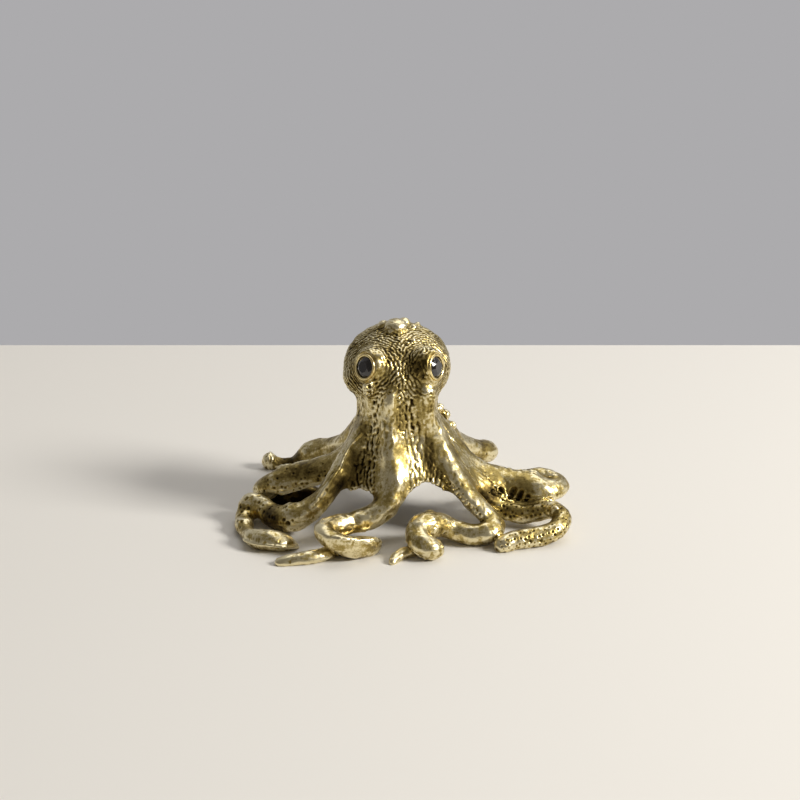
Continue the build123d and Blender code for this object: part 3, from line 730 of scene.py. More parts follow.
# Neck and web: height, radius and shift of the middle
web = {
    "rings": [
        (3.4, 16.6, 0.0, 0.3), (5.2, 15.7, 0.0, 0.3), (7.2, 14.7, 0.0, 0.3),
        (9.1, 13.7, 0.0, 0.3), (11.4, 12.2, 0.0, 0.3), (14.1, 10.7, -0.15, 0.3),
        (17.1, 9.15, -0.4, 0.4), (20.1, 7.75, -0.8, 0.4), (22.8, 7.15, -0.9, 0.4),
        (25.8, 7.1, -0.9, -0.45), (28.9, 6.4, -0.9, -1.66), (31.5, 4.8, -0.9, -2.56),
    ],
    "arches": [  # heading from the face, half width and apex of the hem
        (20.0, 4.6, 10.1), (112.0, 6.0, 10.4), (182.0, 7.4, 10.8), (-113.0, 4.8, 10.0),
        (-71.5, 2.6, 8.8), (-32.5, 4.1, 8.6), (64.0, 3.0, 8.9),
    ],
    "lowest": [  # heading and height of the hem's ends, which the arms cover
        (-180.0, 10.0), (-142.0, 10.0), (-94.0, 8.3), (-56.0, 8.0), (-8.0, 7.4),
        (48.0, 8.0), (67.0, 8.2), (82.0, 8.5), (144.0, 10.0), (180.0, 10.0),
    ],
    "hemWall": 0.9,
    "neckWall": 1.7,
    "hollowTop": 17.0,
    "around": 144,  # points round the shell, and up it
    "upward": 40,
    "archRadius": 13.0,  # where the half widths of the arches are measured
    "archFall": 0.85,
    "archPower": 2.4,
    "hemStep": 0.15,  # the inside of the hem stands this much higher
}


def blob(centre, halfSizes, lean=0.0, detail=4):
    # an egg, each level moved back as it rises
    work = bmesh.new()
    bmesh.ops.create_icosphere(work, subdivisions=detail, radius=1.0)
    points = [
        (
            centre[0] + v.co.x * halfSizes[0],
            centre[1] + v.co.y * halfSizes[1] + lean * v.co.z * halfSizes[2],
            centre[2] + v.co.z * halfSizes[2],
        )
        for v in work.verts
    ]
    faces = [[v.index for v in f.verts] for f in work.faces]
    work.free()
    return newPiece("blob", points, [], faces)


def crownPlace(across, depth):
    # where a wart stands on the crown
    x0, y0, z0 = mantle["centre"]
    a, b, c = mantle["halfSizes"]
    x, y = across * figure["halfSpan"], depth * figure["halfSpan"]
    rise = c
    for step in range(mantle["settling"]):
        level = 1 - ((x - x0) / a) ** 2 - ((y - y0 - mantle["lean"] * rise) / b) ** 2
        rise = c * math.sqrt(max(level, 0))
    return (x, y, z0 + rise)


def webSkin():
    # one closed shell: outside, inside and the arched hem between them
    rings = np.array(web["rings"])
    across, upward = web["around"], web["upward"]
    thetas = np.linspace(0, 2 * math.pi, across, endpoint=False)  # from the face to the right
    facing = np.degrees(np.angle(np.exp(1j * thetas)))
    hem = np.interp(facing, *zip(*web["lowest"]))
    for heading, half, apex in web["arches"]:
        turn = np.angle(np.exp(1j * (thetas - math.radians(heading))))
        away = np.abs(turn) * web["archRadius"] / half
        hem = np.maximum(hem, apex - web["archFall"] * half * away ** web["archPower"])
    points = []
    for wall in (False, True):
        top = web["hollowTop"] if wall else rings[-1, 0]
        for k in range(upward):
            t = k / (upward - 1)
            z = hem + (top - hem) * t
            radius = np.interp(z, rings[:, 0], rings[:, 1])
            if wall:
                inset = web["hemWall"] + (web["neckWall"] - web["hemWall"]) * min(1, 3 * t)
                radius = radius - inset
                z = z + (web["hemStep"] if k == 0 else 0)
            x = np.interp(z, rings[:, 0], rings[:, 2]) + radius * np.sin(thetas)
            y = np.interp(z, rings[:, 0], rings[:, 3]) - radius * np.cos(thetas)
            points += np.column_stack([x, y, z]).tolist()
    faces = []
    for wall in (0, 1):
        start = wall * across * upward
        for k in range(upward - 1):
            for i in range(across):
                j = (i + 1) % across
                quad = (
                    start + k * across + i, start + k * across + j,
                    start + (k + 1) * across + j, start + (k + 1) * across + i,
                )
                faces.append(quad[::-1] if wall else quad)
        last = start + (upward - 1) * across
        cap = list(range(last, last + across))
        faces.append(cap[::-1] if wall else cap)
    inner = across * upward
    for i in range(across):
        j = (i + 1) % across
        faces.append((j, i, inner + i, inner + j))
    return newPiece("webSkin", points, [], faces)


# The body is roughed out first with the roots of the arms, and its folds are drawn out wide
body = {
    "grain": 0.42,
    "Fillet": 30,
    "Strength": 1.0,
    "Even": 1,
    "rounds": 5,
    "fill": [  # chin and throat under the face: place, half sizes
        ((-0.7, -2.7, 24.2), (6.2, 5.3, 6.4)),
        ((-0.4, -0.6, 17.5), (7.2, 7.2, 6.0)),
    ],
    "ridges": [  # folds that climb from the arms to the eyes: place and radius
        [(-1.9, -8.2, 27.6, 0.9), (-2.2, -8.3, 25.0, 1.4), (-2.3, -8.2, 22.0, 1.6),
         (-2.3, -8.7, 19.0, 1.8), (-2.3, -9.8, 15.6, 1.9), (-2.2, -11.1, 12.8, 1.7),
         (-1.8, -12.2, 10.6, 0.9)],
        [(4.9, -6.9, 28.0, 1.8), (4.3, -7.0, 25.8, 2.0), (4.2, -6.7, 22.8, 2.0),
         (5.4, -6.3, 19.6, 2.0), (7.0, -6.5, 16.4, 1.9), (8.3, -7.5, 13.6, 1.5),
         (9.3, -8.4, 11.6, 0.9)],
        [(-6.0, -5.6, 26.8, 1.2), (-5.6, -5.4, 24.4, 1.4), (-5.8, -5.1, 22.0, 1.5),
         (-6.8, -5.0, 19.2, 1.6), (-8.2, -5.6, 16.2, 1.6), (-9.8, -6.5, 13.8, 1.3),
         (-11.0, -7.2, 12.0, 0.8)],
    ],
}


def rootOf(armName):
    # the part of a route that the body holds
    route = routes[armName]
    last = arms[armName]["seat"] + passing["rootRows"]
    kept = {k: v[route["row"] <= last] for k, v in route.items()}
    shrink = 1.0 - passing["taper"] * ease(last - passing["taperRows"], last, kept["row"])
    for key in ("reach", "rise"):
        kept[key] = kept[key] * shrink
    return kept


def remeshed(name, pieces, grain):
    # one even skin over all the pieces
    work = bmesh.new()
    for piece in pieces:
        work.from_mesh(piece.data)
        bpy.data.objects.remove(piece)
    joined = pieceOf(name, work)
    modifier = joined.modifiers.new("grain", "REMESH")
    modifier.mode = "VOXEL"
    modifier.voxel_size = grain
    modifier.adaptivity = 0.0
    settle(joined)
    return joined


ridgeRoutes = [
    smoothRoute(np.array(ridge), [(0, 1.0, 1.0, 0, 0)], (0.0, 1.0, 0.0))
    for ridge in body["ridges"]
]
roots = routePiece("roots", [rootOf(armName) for armName in arms] + ridgeRoutes)
runTree(roots, armTube, sweep)
rough = [roots, webSkin(), blob(mantle["centre"], mantle["halfSizes"], mantle["lean"], 5)]
for centre, halfSizes in mantle["swellings"] + body["fill"]:
    rough.append(blob(centre, halfSizes))
trunk = remeshed("trunk", rough, body["grain"])

# Folds between the arms and the web are drawn out as a modeller's thumb does
soften = {"Fillet": 12, "Strength": 1.0, "Even": 1}
skinRounds = 2


def softenTree():
    tree, groupIn, groupOut = newTree("thumbedFolds", {"Fillet": 30, "Strength": 1.0, "Even": 2})
    place = addNode(tree, "GeometryNodeInputPosition")
    normal = addNode(tree, "GeometryNodeInputNormal")
    drawn = blurred(tree, place, groupIn.outputs["Fillet"], "FLOAT_VECTOR")
    gap = vectorCalc(tree, "SUBTRACT", drawn, place)
    outward = calc(tree, "MAXIMUM", vectorCalc(tree, "DOT_PRODUCT", gap, normal), 0.0)
    outward = calc(tree, "MULTIPLY", outward, groupIn.outputs["Strength"])
    outward = calc(tree, "MULTIPLY", outward, named(tree, "outside"))
    filled = pushed(tree, groupIn.outputs["Geometry"], outward)
    even = addNode(tree, "GeometryNodeInputPosition")
    even = blurred(tree, even, groupIn.outputs["Even"], "FLOAT_VECTOR")
    smooth = addNode(tree, "GeometryNodeSetPosition", {"Geometry": filled, "Position": even})
    endTree(tree, smooth, groupOut, brass)
    return tree


# The hollow under the web
hollowSpace = {
    "middle": (-0.3, 0.6),
    "radius": 13.0,
    "top": 17.6,
    "roofLean": -0.35,  # a normal that points down more than this is on the roof
}


def inHollow(mesh, withRoof):
    # which points lie on the walls of the hollow, or on its roof where that counts too
    points, normals = pointsOf(mesh), normalsOf(mesh)
    away = points[:, :2] - hollowSpace["middle"]
    facing = (normals[:, :2] * away).sum(1) < 0
    if withRoof:
        facing |= normals[:, 2] < hollowSpace["roofLean"]
    near = np.linalg.norm(away, axis=1) < hollowSpace["radius"]
    return facing & near & (points[:, 2] < hollowSpace["top"])


def markOutside(mesh):
    # 1 on the outside of the body, 0 inside the web's hollow
    keepValues(mesh, "outside", 1.0 - inHollow(mesh, True))


folds = softenTree()
markOutside(trunk.data)
for turnOfWork in range(body["rounds"]):
    runTree(trunk, folds, body)
print("body roughed out:", len(trunk.data.vertices), "points")

# Warts and knuckles of the arms: arm, row, place round it in degrees, size
knuckles = [
    ("arm_left_rear", 1.5, -40, 0.80), ("arm_right_rear", 1.0, 40, 0.90),
    ("arm_right_rear", 1.5, 25, 1.10), ("arm_right_rear", 2.5, 30, 0.80),
    ("arm_left_rear", 7.6, 215, 0.85), ("arm_left", 8.3, 70, 1.25),
    ("arm_front_right", 13.2, 60, 1.15), ("arm_front_right", 16.4, 200, 1.20),
    ("arm_right", 9.0, 120, 1.00), ("arm_right_front", 8.6, 40, 0.90),
]
sinking = {"fromRow": 6, "share": 0.35}  # knuckles past this row sink into the arm
clay = [armSkins, trunk]
warts = []
for across, depth, size in mantle["crown"]:
    x, y, z = crownPlace(across, depth)
    radius = size * mantle["wartRadius"]
    top = (x, y, z + mantle["wartLift"] * radius)
    clay.append(blob(top, (radius, radius, mantle["wartFlat"] * radius), 0.0, 3))
    warts.append(((x, y, z), radius))
clay.append(blob(*mantle["faceWart"], 0.0, 3))
warts.append((mantle["faceWart"][0], mantle["faceWartReach"]))
for armName, row, turn, size in knuckles:
    route = routes[armName]
    step = round(row * sweep["stepsPerRow"])
    angle = math.radians(turn)
    out = route["side"][step] * math.cos(angle) + route["up"][step] * math.sin(angle)
    radius = size * mantle["wartRadius"]
    sunk = sinking["share"] * radius if row > sinking["fromRow"] else 0
    depth = route["radius"][step] - sunk
    clay.append(blob(route["centre"][step] + out * depth, (radius,) * 3, 0.0, 3))

cast = remeshed("cast", clay, figure["grain"])
print("one skin:", len(cast.data.vertices), "points")
markOutside(cast.data)
for turnOfWork in range(skinRounds):
    runTree(cast, folds, soften)
print("folds drawn out")

# Where each point lies on the figurine
eyes = {
    "left": {"rim": (-7.10, -6.40, 31.46), "heading": -45.6, "lift": 13.5},
    "right": {"rim": (6.59, -6.40, 31.46), "heading": 58.4, "lift": 10.2},
}


def eyeWay(eye):
    return np.array(wayTo(eye["heading"], eye["lift"]))


# What counts as arm and what as head
zones = {
    "armFrom": 1.08,  # in radii from the middle of the arm
    "armTo": 1.7,
    "headFrom": 24.0,  # mm above the table
    "headTo": 27.5,
    "headLean": 0.30,
    "headFront": 5,  # mm
    "webReach": 17.0,  # mm from the middle: everything farther out belongs to an arm
    "armWidths": 1.55,  # what lies nearer than this, in half widths of an arm,
    "armMore": 0.3,  # and this in mm, belongs to the arm too
}


def readSkin(mesh):
    # how near each point is to an arm, and its place along and around that arm
    points = pointsOf(mesh)
    strands = list(routes.values())
    marks = {k: np.concatenate([s[k] for s in strands]) for k in strands[0]}
    tree = KDTree(len(marks["centre"]))
    for i, centre in enumerate(marks["centre"]):
        tree.insert(centre, i)
    tree.balance()
    nearest = np.array([tree.find(p)[1] for p in points])
    off = points - marks["centre"][nearest]
    across, up, forward = (
        (off * marks[key][nearest]).sum(1) for key in ("side", "up", "ahead")
    )
    forward = marks["along"][nearest] + forward
    distance = np.linalg.norm(off, axis=1)
    fromArm = distance / marks["radius"][nearest]
    keepValues(mesh, "armPlace", np.column_stack([across, up, forward]))
    keepValues(mesh, "onArm", 1 - ease(zones["armFrom"], zones["armTo"], fromArm))
    # the eyes, for the ripples round them and the rubbed brows
    toEye = [np.linalg.norm(points - np.array(eye["rim"]), axis=1) for eye in eyes.values()]
    keepValues(mesh, "fromEye", np.minimum(*toEye))
    level = points[:, 2] + zones["headLean"] * (points[:, 1] + zones["headFront"])
    keepValues(mesh, "onHead", ease(zones["headFrom"], zones["headTo"], level))
    keepValues(mesh, "underWeb", inHollow(mesh, False).astype(float))
    # the arm casting that each point belongs to, from 1, or 0 on the body
    widest = np.maximum(marks["reach"], marks["rise"])[nearest]
    owned = distance < zones["armWidths"] * widest + zones["armMore"]
    owned |= np.linalg.norm(points[:, :2], axis=1) > zones["webReach"]
    return np.where(owned, marks["casting"][nearest], 0)


casting = readSkin(cast.data)
print("skin read")

# Relief of the casting: ripples on the head, pits on the neck, fine pores on the arms
relief = {
    "Ripple": 0.70,  # mm from one ridge of the head to the next
    "Pebble": 1.0,  # mm of a pit on the neck and the web
    "Flake": 1.15,  # length over width of a ridge on the head
    "Stretch": 1.5,  # and on the web
    "Rounds": 4,
    "Near": 1,
    "Far": 5,
    "Head Far": 3,
    "Fill": 0.27,  # how far the ridges of the web close round their pits
    "Gain": 3.6,
    "Head Depth": 0.11,
    "Web Depth": 0.12,
    "Arm Depth": 0.012,
    "Lump": 0.32,
    "Lump Size": 3.4,
    "Dent": 0.11,  # shallow dents that a file and a thumb leave
    "Dent Size": 1.5,
    "Pore": 1.25,  # mm from one pore to the next
    "Pore Depth": 0.09,
    "Seed": 7.0,
}


pattern = {
    "contrast": 5.0,  # of the first hints
    "keep": 0.35,  # how much of a ridge stays from round to round
    "poreRadius": 0.30,  # in cells
    "poreEdge": 6.0,
    "poreHeight": 0.7,
    "poreless": 0.62,  # share of an arm's cells that have no pore
    "armPores": 0.45,  # how much shallower the pores of an arm are
    "around": 24,  # rounds that find the surroundings of a point
}


def reliefTree():
    tree, groupIn, groupOut = newTree("castRelief", relief)
    size = {s.name: s for s in groupIn.outputs}

    def noise(vector, pitch, detail, fourth):
        inputs = {"Vector": vector, "W": fourth, "Detail": detail, "Roughness": 0.5}
        inputs["Scale"] = calc(tree, "DIVIDE", 1.0, pitch)
        return addNode(tree, "ShaderNodeTexNoise", inputs, noise_dimensions="4D")

    def squash(vector, x, y, z):
        squeeze = addNode(tree, "ShaderNodeCombineXYZ", {0: x, 1: y, 2: z})
        return vectorCalc(tree, "MULTIPLY", vector, squeeze)

    def less(value):
        return calc(tree, "SUBTRACT", 1.0, value)

    def limited(value, low):
        return calc(tree, "MINIMUM", calc(tree, "MAXIMUM", value, low), 1.0)

    def waves(name, fourth):
        wave = calc(tree, "SUBTRACT", noise(place, size[name + " Size"], 1.0, fourth), 0.5)
        return calc(tree, "MULTIPLY", wave, calc(tree, "MULTIPLY", size[name], 2.0))

    place = addNode(tree, "GeometryNodeInputPosition")
    tight = calc(tree, "DIVIDE", 1.0, size["Stretch"])
    onArm, onHead, calm = (named(tree, name) for name in ("onArm", "onHead", "calm"))
    # first hints of the pattern: round the eyes, down the neck and along the arms
    ringed = calc(tree, "DIVIDE", named(tree, "fromEye"), size["Ripple"])
    short = calc(tree, "DIVIDE", 1.0, size["Flake"])
    ripples = noise(squash(place, short, short, short), size["Ripple"], 0.0, ringed)
    down = noise(squash(place, 1.0, 1.0, tight), size["Pebble"], 0.0, size["Seed"])
    armPlace = squash(named(tree, "armPlace", "FLOAT_VECTOR"), 1.0, 1.0, tight)
    lower = mixed(tree, onArm, down, noise(armPlace, size["Pebble"], 0.0, 2.0))
    hint = calc(tree, "SUBTRACT", mixed(tree, onHead, lower, ripples), 0.5)
    hint = calc(tree, "MULTIPLY", hint, pattern["contrast"])
    started = stored(tree, groupIn.outputs["Geometry"], "ridge", hint)
    # near neighbours gather and far ones part, so that the hints grow into even ridges
    loopIn = tree.nodes.new("GeometryNodeRepeatInput")
    loopOut = tree.nodes.new("GeometryNodeRepeatOutput")
    loopIn.pair_with_output(loopOut)
    tree.links.new(size["Rounds"], loopIn.inputs["Iterations"])
    tree.links.new(started.outputs[0], loopIn.inputs["Geometry"])
    ridge = named(tree, "ridge")
    near, far, headFar = (
        blurred(tree, ridge, size[reach]) for reach in ("Near", "Far", "Head Far")
    )
    far = mixed(tree, onHead, far, headFar)
    grown = calc(tree, "MULTIPLY", calc(tree, "SUBTRACT", near, far), size["Gain"])
    grown = calc(tree, "ADD", grown, calc(tree, "MULTIPLY", near, pattern["keep"]))
    grown = calc(tree, "ADD", grown, calc(tree, "MULTIPLY", less(onHead), size["Fill"]))
    woven = stored(tree, loopIn.outputs["Geometry"], "ridge", limited(grown, -1.0))
    tree.links.new(woven.outputs[0], loopOut.inputs["Geometry"])

    # depth of the pattern by place
    depth = mixed(tree, onArm, size["Web Depth"], size["Arm Depth"])
    depth = mixed(tree, onHead, depth, size["Head Depth"])
    depth = calc(tree, "MULTIPLY", depth, less(calm))
    lumps = calc(tree, "ADD", waves("Lump", size["Seed"]), waves("Dent", 3.0))
    soft = blurred(tree, named(tree, "ridge"), 1)
    # pores: a small pit in each cell, stretched downward
    cells = {
        "Vector": squash(place, 1.0, 1.0, pattern["poreHeight"]),
        "Scale": calc(tree, "DIVIDE", 1.0, size["Pore"]),
        "Randomness": 1.0,
    }
    cells = addNode(tree, "ShaderNodeTexVoronoi", cells, feature="F1", distance="EUCLIDEAN")
    pore = calc(tree, "SUBTRACT", pattern["poreRadius"], cells.outputs["Distance"])
    pore = limited(calc(tree, "MULTIPLY", pore, pattern["poreEdge"]), 0.0)
    pore = calc(tree, "MULTIPLY", pore, less(calm))
    # only some cells of an arm have their pore
    few = addNode(tree, "ShaderNodeSeparateXYZ", {0: cells.outputs["Color"]}).outputs[0]
    few = calc(tree, "GREATER_THAN", few, pattern["poreless"])
    few = mixed(tree, onArm, 1.0, few)
    shallow = less(calc(tree, "MULTIPLY", onArm, pattern["armPores"]))
    pore = calc(tree, "MULTIPLY", pore, calc(tree, "MULTIPLY", few, shallow))
    rise = calc(tree, "ADD", calc(tree, "MULTIPLY", soft, depth), lumps)
    rise = calc(tree, "SUBTRACT", rise, calc(tree, "MULTIPLY", pore, size["Pore Depth"]))
    pored = stored(tree, loopOut.outputs["Geometry"], "pore", pore)
    shaped = pushed(tree, pored, rise)
    # how deep each point sits under its surroundings
    at = addNode(tree, "GeometryNodeInputPosition")
    around = blurred(tree, at, pattern["around"], "FLOAT_VECTOR")
    sunk = vectorCalc(tree, "SUBTRACT", around, at)
    sunk = vectorCalc(tree, "DOT_PRODUCT", sunk, addNode(tree, "GeometryNodeInputNormal"))
    endTree(tree, stored(tree, shaped, "sunk", sunk), groupOut, brass)
    return tree


# Suckers, pits and beads: arm, first and last row, place round the arm in degrees,
# distance from one to the next, radius, depth (raised where negative)
suckers = {
    "rows": [
        ("arm_right_front", 4.5, 8.5, 28, 1.05, 0.35, 0.17),
        ("arm_right_front", 4.5, 8.8, 62, 1.10, 0.34, 0.16),
        ("arm_right_front", 4.2, 8.6, 96, 1.20, 0.30, 0.13),
        ("arm_right_front", 8.8, 14.4, 92, 1.00, 0.30, 0.16),
        ("arm_right_front", 8.8, 14.5, 122, 0.95, 0.29, 0.16),
        ("arm_right_front", 8.8, 14.5, 152, 0.95, 0.30, 0.17),
        ("arm_right_front", 9.0, 14.2, 180, 1.10, 0.30, 0.16),
        ("arm_right", 7.6, 10.4, 205, 1.3, 0.38, 0.20),
        ("arm_left", 3.0, 7.4, 102, 1.30, 0.30, 0.15),
        ("arm_left", 3.0, 7.4, 140, 1.25, 0.34, 0.17),
        ("arm_left", 3.2, 7.2, 172, 1.30, 0.34, 0.16),
        ("arm_left_front", 7.6, 9.6, 130, 1.15, 0.35, 0.17),
        ("arm_left_front", 7.4, 9.8, 165, 1.20, 0.39, 0.20),
        ("arm_left_front", 9.8, 14.0, 60, 1.30, 0.40, 0.20),
        ("arm_left_front", 10.0, 14.0, 110, 1.30, 0.39, 0.18),
        ("arm_front_right", 4.2, 8.6, -34, 0.92, 0.50, -0.34),
        ("arm_front_right", 4.7, 8.2, -4, 1.05, 0.28, 0.16),
        ("arm_left_rear", 4.0, 9.0, 40, 1.3, 0.35, 0.17),
        ("arm_left_rear", 4.4, 9.0, 0, 1.4, 0.39, 0.20),
        ("arm_right_rear", 4.0, 9.0, 140, 1.3, 0.35, 0.17),
        ("arm_right_rear", 4.4, 9.0, 180, 1.4, 0.39, 0.20),
        ("arm_right_rear", 9.0, 13.0, 150, 1.2, 0.34, 0.17),
    ],
    "lines": [  # raised lines, with no jitter
        ("arm_left_front", 1.2, 6.2, 180, 0.16, 0.40, -0.30),
        ("arm_left", 3.2, 7.2, 3, 0.16, 0.36, -0.22),
        ("arm_left", 3.2, 7.2, 183, 0.16, 0.36, -0.26),
        ("arm_left_front", 15.4, 20.0, -3, 0.16, 0.34, -0.26),
        ("arm_front_left", 10.2, 15.2, 182, 0.16, 0.36, -0.30),
        ("arm_front_left_tip", 3.0, 8.0, 2, 0.16, 0.30, -0.16),
        ("arm_right", 4.4, 7.6, 4, 0.16, 0.34, -0.22),
        ("arm_right", 4.4, 7.6, 184, 0.16, 0.34, -0.18),
    ],
    "slots": [  # gathers across an arm: rows, first and last degrees, pitch, lean, radius, depth
        ("arm_right", 4.8, 5.0, 26, 56, 3.0, 0.12, 0.66, 0.26),
        ("arm_right", 5.4, 5.6, 20, 66, 3.0, 0.14, 0.72, 0.32),
        ("arm_right", 5.95, 6.1, 30, 62, 3.0, 0.10, 0.62, 0.28),
        ("arm_right", 6.4, 6.6, 34, 54, 3.0, 0.10, 0.52, 0.20),
    ],
    "spots": [  # pits and beads off the arms: place, radius, depth
        (-6.1, -8.4, 28.4, 0.48, 0.46), (-6.0, -8.4, 26.9, 0.52, 0.46),
        (-21.0, -13.6, 3.4, 0.55, 0.55),
        (-6.6, -7.2, 25.4, 0.30, 0.20), (-2.4, -9.0, 27.6, 0.30, 0.18),
        (1.3, -2.0, 36.2, 0.45, 0.35), (2.1, -1.6, 36.2, 0.62, -0.45),
        (5.4, -8.6, 27.0, 0.34, 0.20), (0.9, -8.8, 33.0, 0.30, 0.20),
        (0.5, -8.9, 31.6, 0.30, 0.20), (0.8, -9.0, 30.2, 0.32, 0.22),
    ],
    "neat": "arm_right_front",  # the arm whose suckers keep their rows
    "neatJitter": 0.14,
    "jitter": 0.36,
    "wander": 14.0,
    "seed": 11,
    "steadyRadius": 0.4,  # a sucker wider than this keeps its place
    "smallest": 0.65,
    "largest": 1.1,
    "slotStep": 6.0,  # degrees
    "rim": 0.28,
}


def sectionPoint(route, step, degrees):
    # a point on the skin of a swept arm, between two of its steps where need be
    turn = math.radians(degrees)
    low = min(int(step), len(route["row"]) - 2)
    at = {k: v[low] + (step - low) * (v[low + 1] - v[low]) for k, v in route.items()}
    wave = math.sin(turn) * abs(math.sin(turn)) ** at["edge"]
    return (
        at["centre"]
        + at["across"] * at["reach"] * math.cos(turn)
        + at["over"] * at["rise"] * wave
    )


def suckerPlaces():
    draw = np.random.default_rng(suckers["seed"])
    points, size, depth = [], [], []

    def mark(point, radius, deep):
        points.append(point)
        size.append(radius)
        depth.append(deep)

    def ends(route, first, last):
        return (np.interp(row, route["row"], route["along"]) for row in (first, last))

    def stepAt(route, place):
        return np.interp(place, route["along"], np.arange(len(route["along"])))

    for line in suckers["rows"] + suckers["lines"]:
        armName, first, last, degrees, pitch, radius, deep = line
        steady = line in suckers["lines"] or radius > suckers["steadyRadius"]
        loose = suckers["neatJitter"] if armName == suckers["neat"] else suckers["jitter"]
        route = routes[armName]
        for place in np.arange(*ends(route, first, last), pitch):
            wander, grow = 0, 1
            if not steady:
                place += draw.normal(0, loose * pitch)
                wander = draw.normal(0, suckers["wander"] * loose / suckers["jitter"])
                grow = draw.uniform(suckers["smallest"], suckers["largest"])
            point = sectionPoint(route, stepAt(route, place), degrees + wander)
            mark(point, radius * grow, deep * grow)
    for armName, first, last, low, high, pitch, lean, radius, deep in suckers["slots"]:
        route = routes[armName]
        for place in np.arange(*ends(route, first, last), pitch):
            for degrees in np.arange(low, high, suckers["slotStep"]):
                place += lean
                mark(sectionPoint(route, stepAt(route, place), degrees), radius, deep)
    for x, y, z, radius, deep in suckers["spots"]:
        mark((x, y, z), radius, deep)
    points = [cast.closest_point_on_mesh(Vector(p))[1] for p in points]
    piece = newPiece("suckerPlaces", [tuple(p) for p in points], [], [])
    keepValues(piece.data, "size", size)
    keepValues(piece.data, "depth", depth)
    return piece


def suckerTree(sizes):
    # every point of the skin sinks or rises by its place in the nearest sucker
    tree, groupIn, groupOut = newTree("suckerCups", sizes)
    marks = addNode(tree, "GeometryNodeObjectInfo", {"Object": groupIn.outputs["Places"]})
    marks = marks.outputs["Geometry"]
    place = addNode(tree, "GeometryNodeInputPosition")
    nearest = addNode(tree, "GeometryNodeSampleNearest", {"Geometry": marks}, domain="POINT")

    def ofNearest(value, kind="FLOAT"):
        inputs = {"Geometry": marks, "Value": value, "Index": nearest}
        return addNode(tree, "GeometryNodeSampleIndex", inputs, data_type=kind, domain="POINT")

    away = vectorCalc(tree, "DISTANCE", place, ofNearest(place, "FLOAT_VECTOR"))
    far = calc(tree, "DIVIDE", away, ofNearest(named(tree, "size")))
    depth = ofNearest(named(tree, "depth"))
    bowl = calc(tree, "SUBTRACT", 1.0, calc(tree, "MULTIPLY", far, far))
    bowl = calc(tree, "POWER", calc(tree, "MAXIMUM", bowl, 0.0), 0.8)
    ring = calc(tree, "MULTIPLY", calc(tree, "SUBTRACT", far, 1.22), 4.0)
    ring = calc(tree, "MULTIPLY", calc(tree, "MULTIPLY", ring, ring), -1.0)
    ring = calc(tree, "MULTIPLY", calc(tree, "EXPONENT", ring), groupIn.outputs["Rim"])
    height = calc(tree, "MULTIPLY", calc(tree, "SUBTRACT", ring, bowl), depth)
    cup = calc(tree, "MULTIPLY", bowl, calc(tree, "GREATER_THAN", depth, 0.0))
    dug = stored(tree, groupIn.outputs["Geometry"], "cup", cup)
    endTree(tree, pushed(tree, dug, height), groupOut, brass)
    return tree


# Calm places, which wear or the modeller left smooth: place, half sizes and how calm
calmPlaces = [
    ((-5.4, -7.4, 33.8), (2.6, 3.0, 1.3), 0.85),  # brow of the left eye
    ((-3.4, -8.2, 31.8), (1.3, 3.0, 2.6), 0.60),  # cheek beside the left eye
    ((5.2, -8.6, 26.8), (1.9, 3.0, 2.4), 0.65),  # under the right eye
    ((3.6, -7.6, 32.4), (2.0, 3.0, 2.4), 0.55),  # hollow beside the right eye
    ((3.2, -9.6, 14.6), (2.9, 5.0, 5.6), 0.62),  # web between the front arms
]


# Places painted dark, for the shade that falls there: place, half sizes and how dark
paintedShadePlaces = [
    ((2.8, -8.2, 32.0), (2.2, 3.0, 2.8), 0.34),  # hollow beside the right eye
    ((-9.4, -9.4, 12.6), (2.2, 3.4, 4.2), 0.50),  # facet beside the crest of the left arm
    ((-11.8, -11.6, 10.2), (2.4, 3.4, 3.4), 0.58),  # the same facet lower down
    ((5.2, -9.0, 14.4), (1.1, 3.0, 5.0), 0.42),  # fold between the front arms
    ((9.2, -20.6, 4.6), (2.0, 2.0, 1.2), 0.60),  # knuckle of the right front arm
    ((-23.6, -10.8, 2.6), (3.4, 3.6, 2.6), 0.80),  # coil of the left front arm
    ((-20.5, 3.0, 1.4), (9.0, 4.2, 3.4), 0.95),  # the left arm where it runs back
    ((-20.0, -1.0, 9.2), (6.0, 3.0, 2.6), 0.22),  # the left arm where it runs out
    ((-22.5, 22.0, 2.0), (3.6, 3.0, 3.0), 0.45),  # the left rear arm before its knob
    ((16.4, -7.6, 6.2), (2.2, 3.0, 2.2), 0.70),  # cave under the right arm
    ((19.6, -7.4, 2.8), (5.0, 3.0, 1.6), 0.30),
]


def markCalm(mesh):
    points = pointsOf(mesh)
    calm = readValues(mesh, "underWeb")
    for centre, halfSizes, much in calmPlaces:
        calm = np.maximum(calm, much * nearness(points, centre, halfSizes, 0.6, 1.15))
    for eye in eyes.values():
        calm = np.maximum(calm, nearBall(points, eye["rim"], 1.0, 2.7, 3.5))
    for centre, radius in warts:
        calm = np.maximum(calm, 0.8 * nearBall(points, centre, radius, 0.9, 1.3))
    for ridge in ridgeRoutes:
        for centre, radius in zip(ridge["centre"], ridge["radius"]):
            calm = np.maximum(calm, 0.78 * nearBall(points, centre, radius, 0.85, 1.42))
    keepValues(mesh, "calm", calm)


markCalm(cast.data)
runTree(cast, reliefTree(), relief)
print("relief cut")
places = suckerPlaces()
cups = {"Places": places, "Rim": suckers["rim"]}
runTree(cast, suckerTree(cups), cups)
bpy.data.objects.remove(places)
print("suckers sunk")

# How black each kind of place is, by patina and by painted shade, and how bright what a hand
# reaches
patinaShadeAndWear = {
    "pits": 0.38,
    "headPits": 0.06,  # more on the head
    # patina in the corners, with painted shade in them too
    "corners": 0.8,
    # painted shade under the web
    "underWeb": 0.5,
    "pore": 0.4,
    "cup": 0.62,
    "crests": 0.42,
    "calm": 0.04,
}

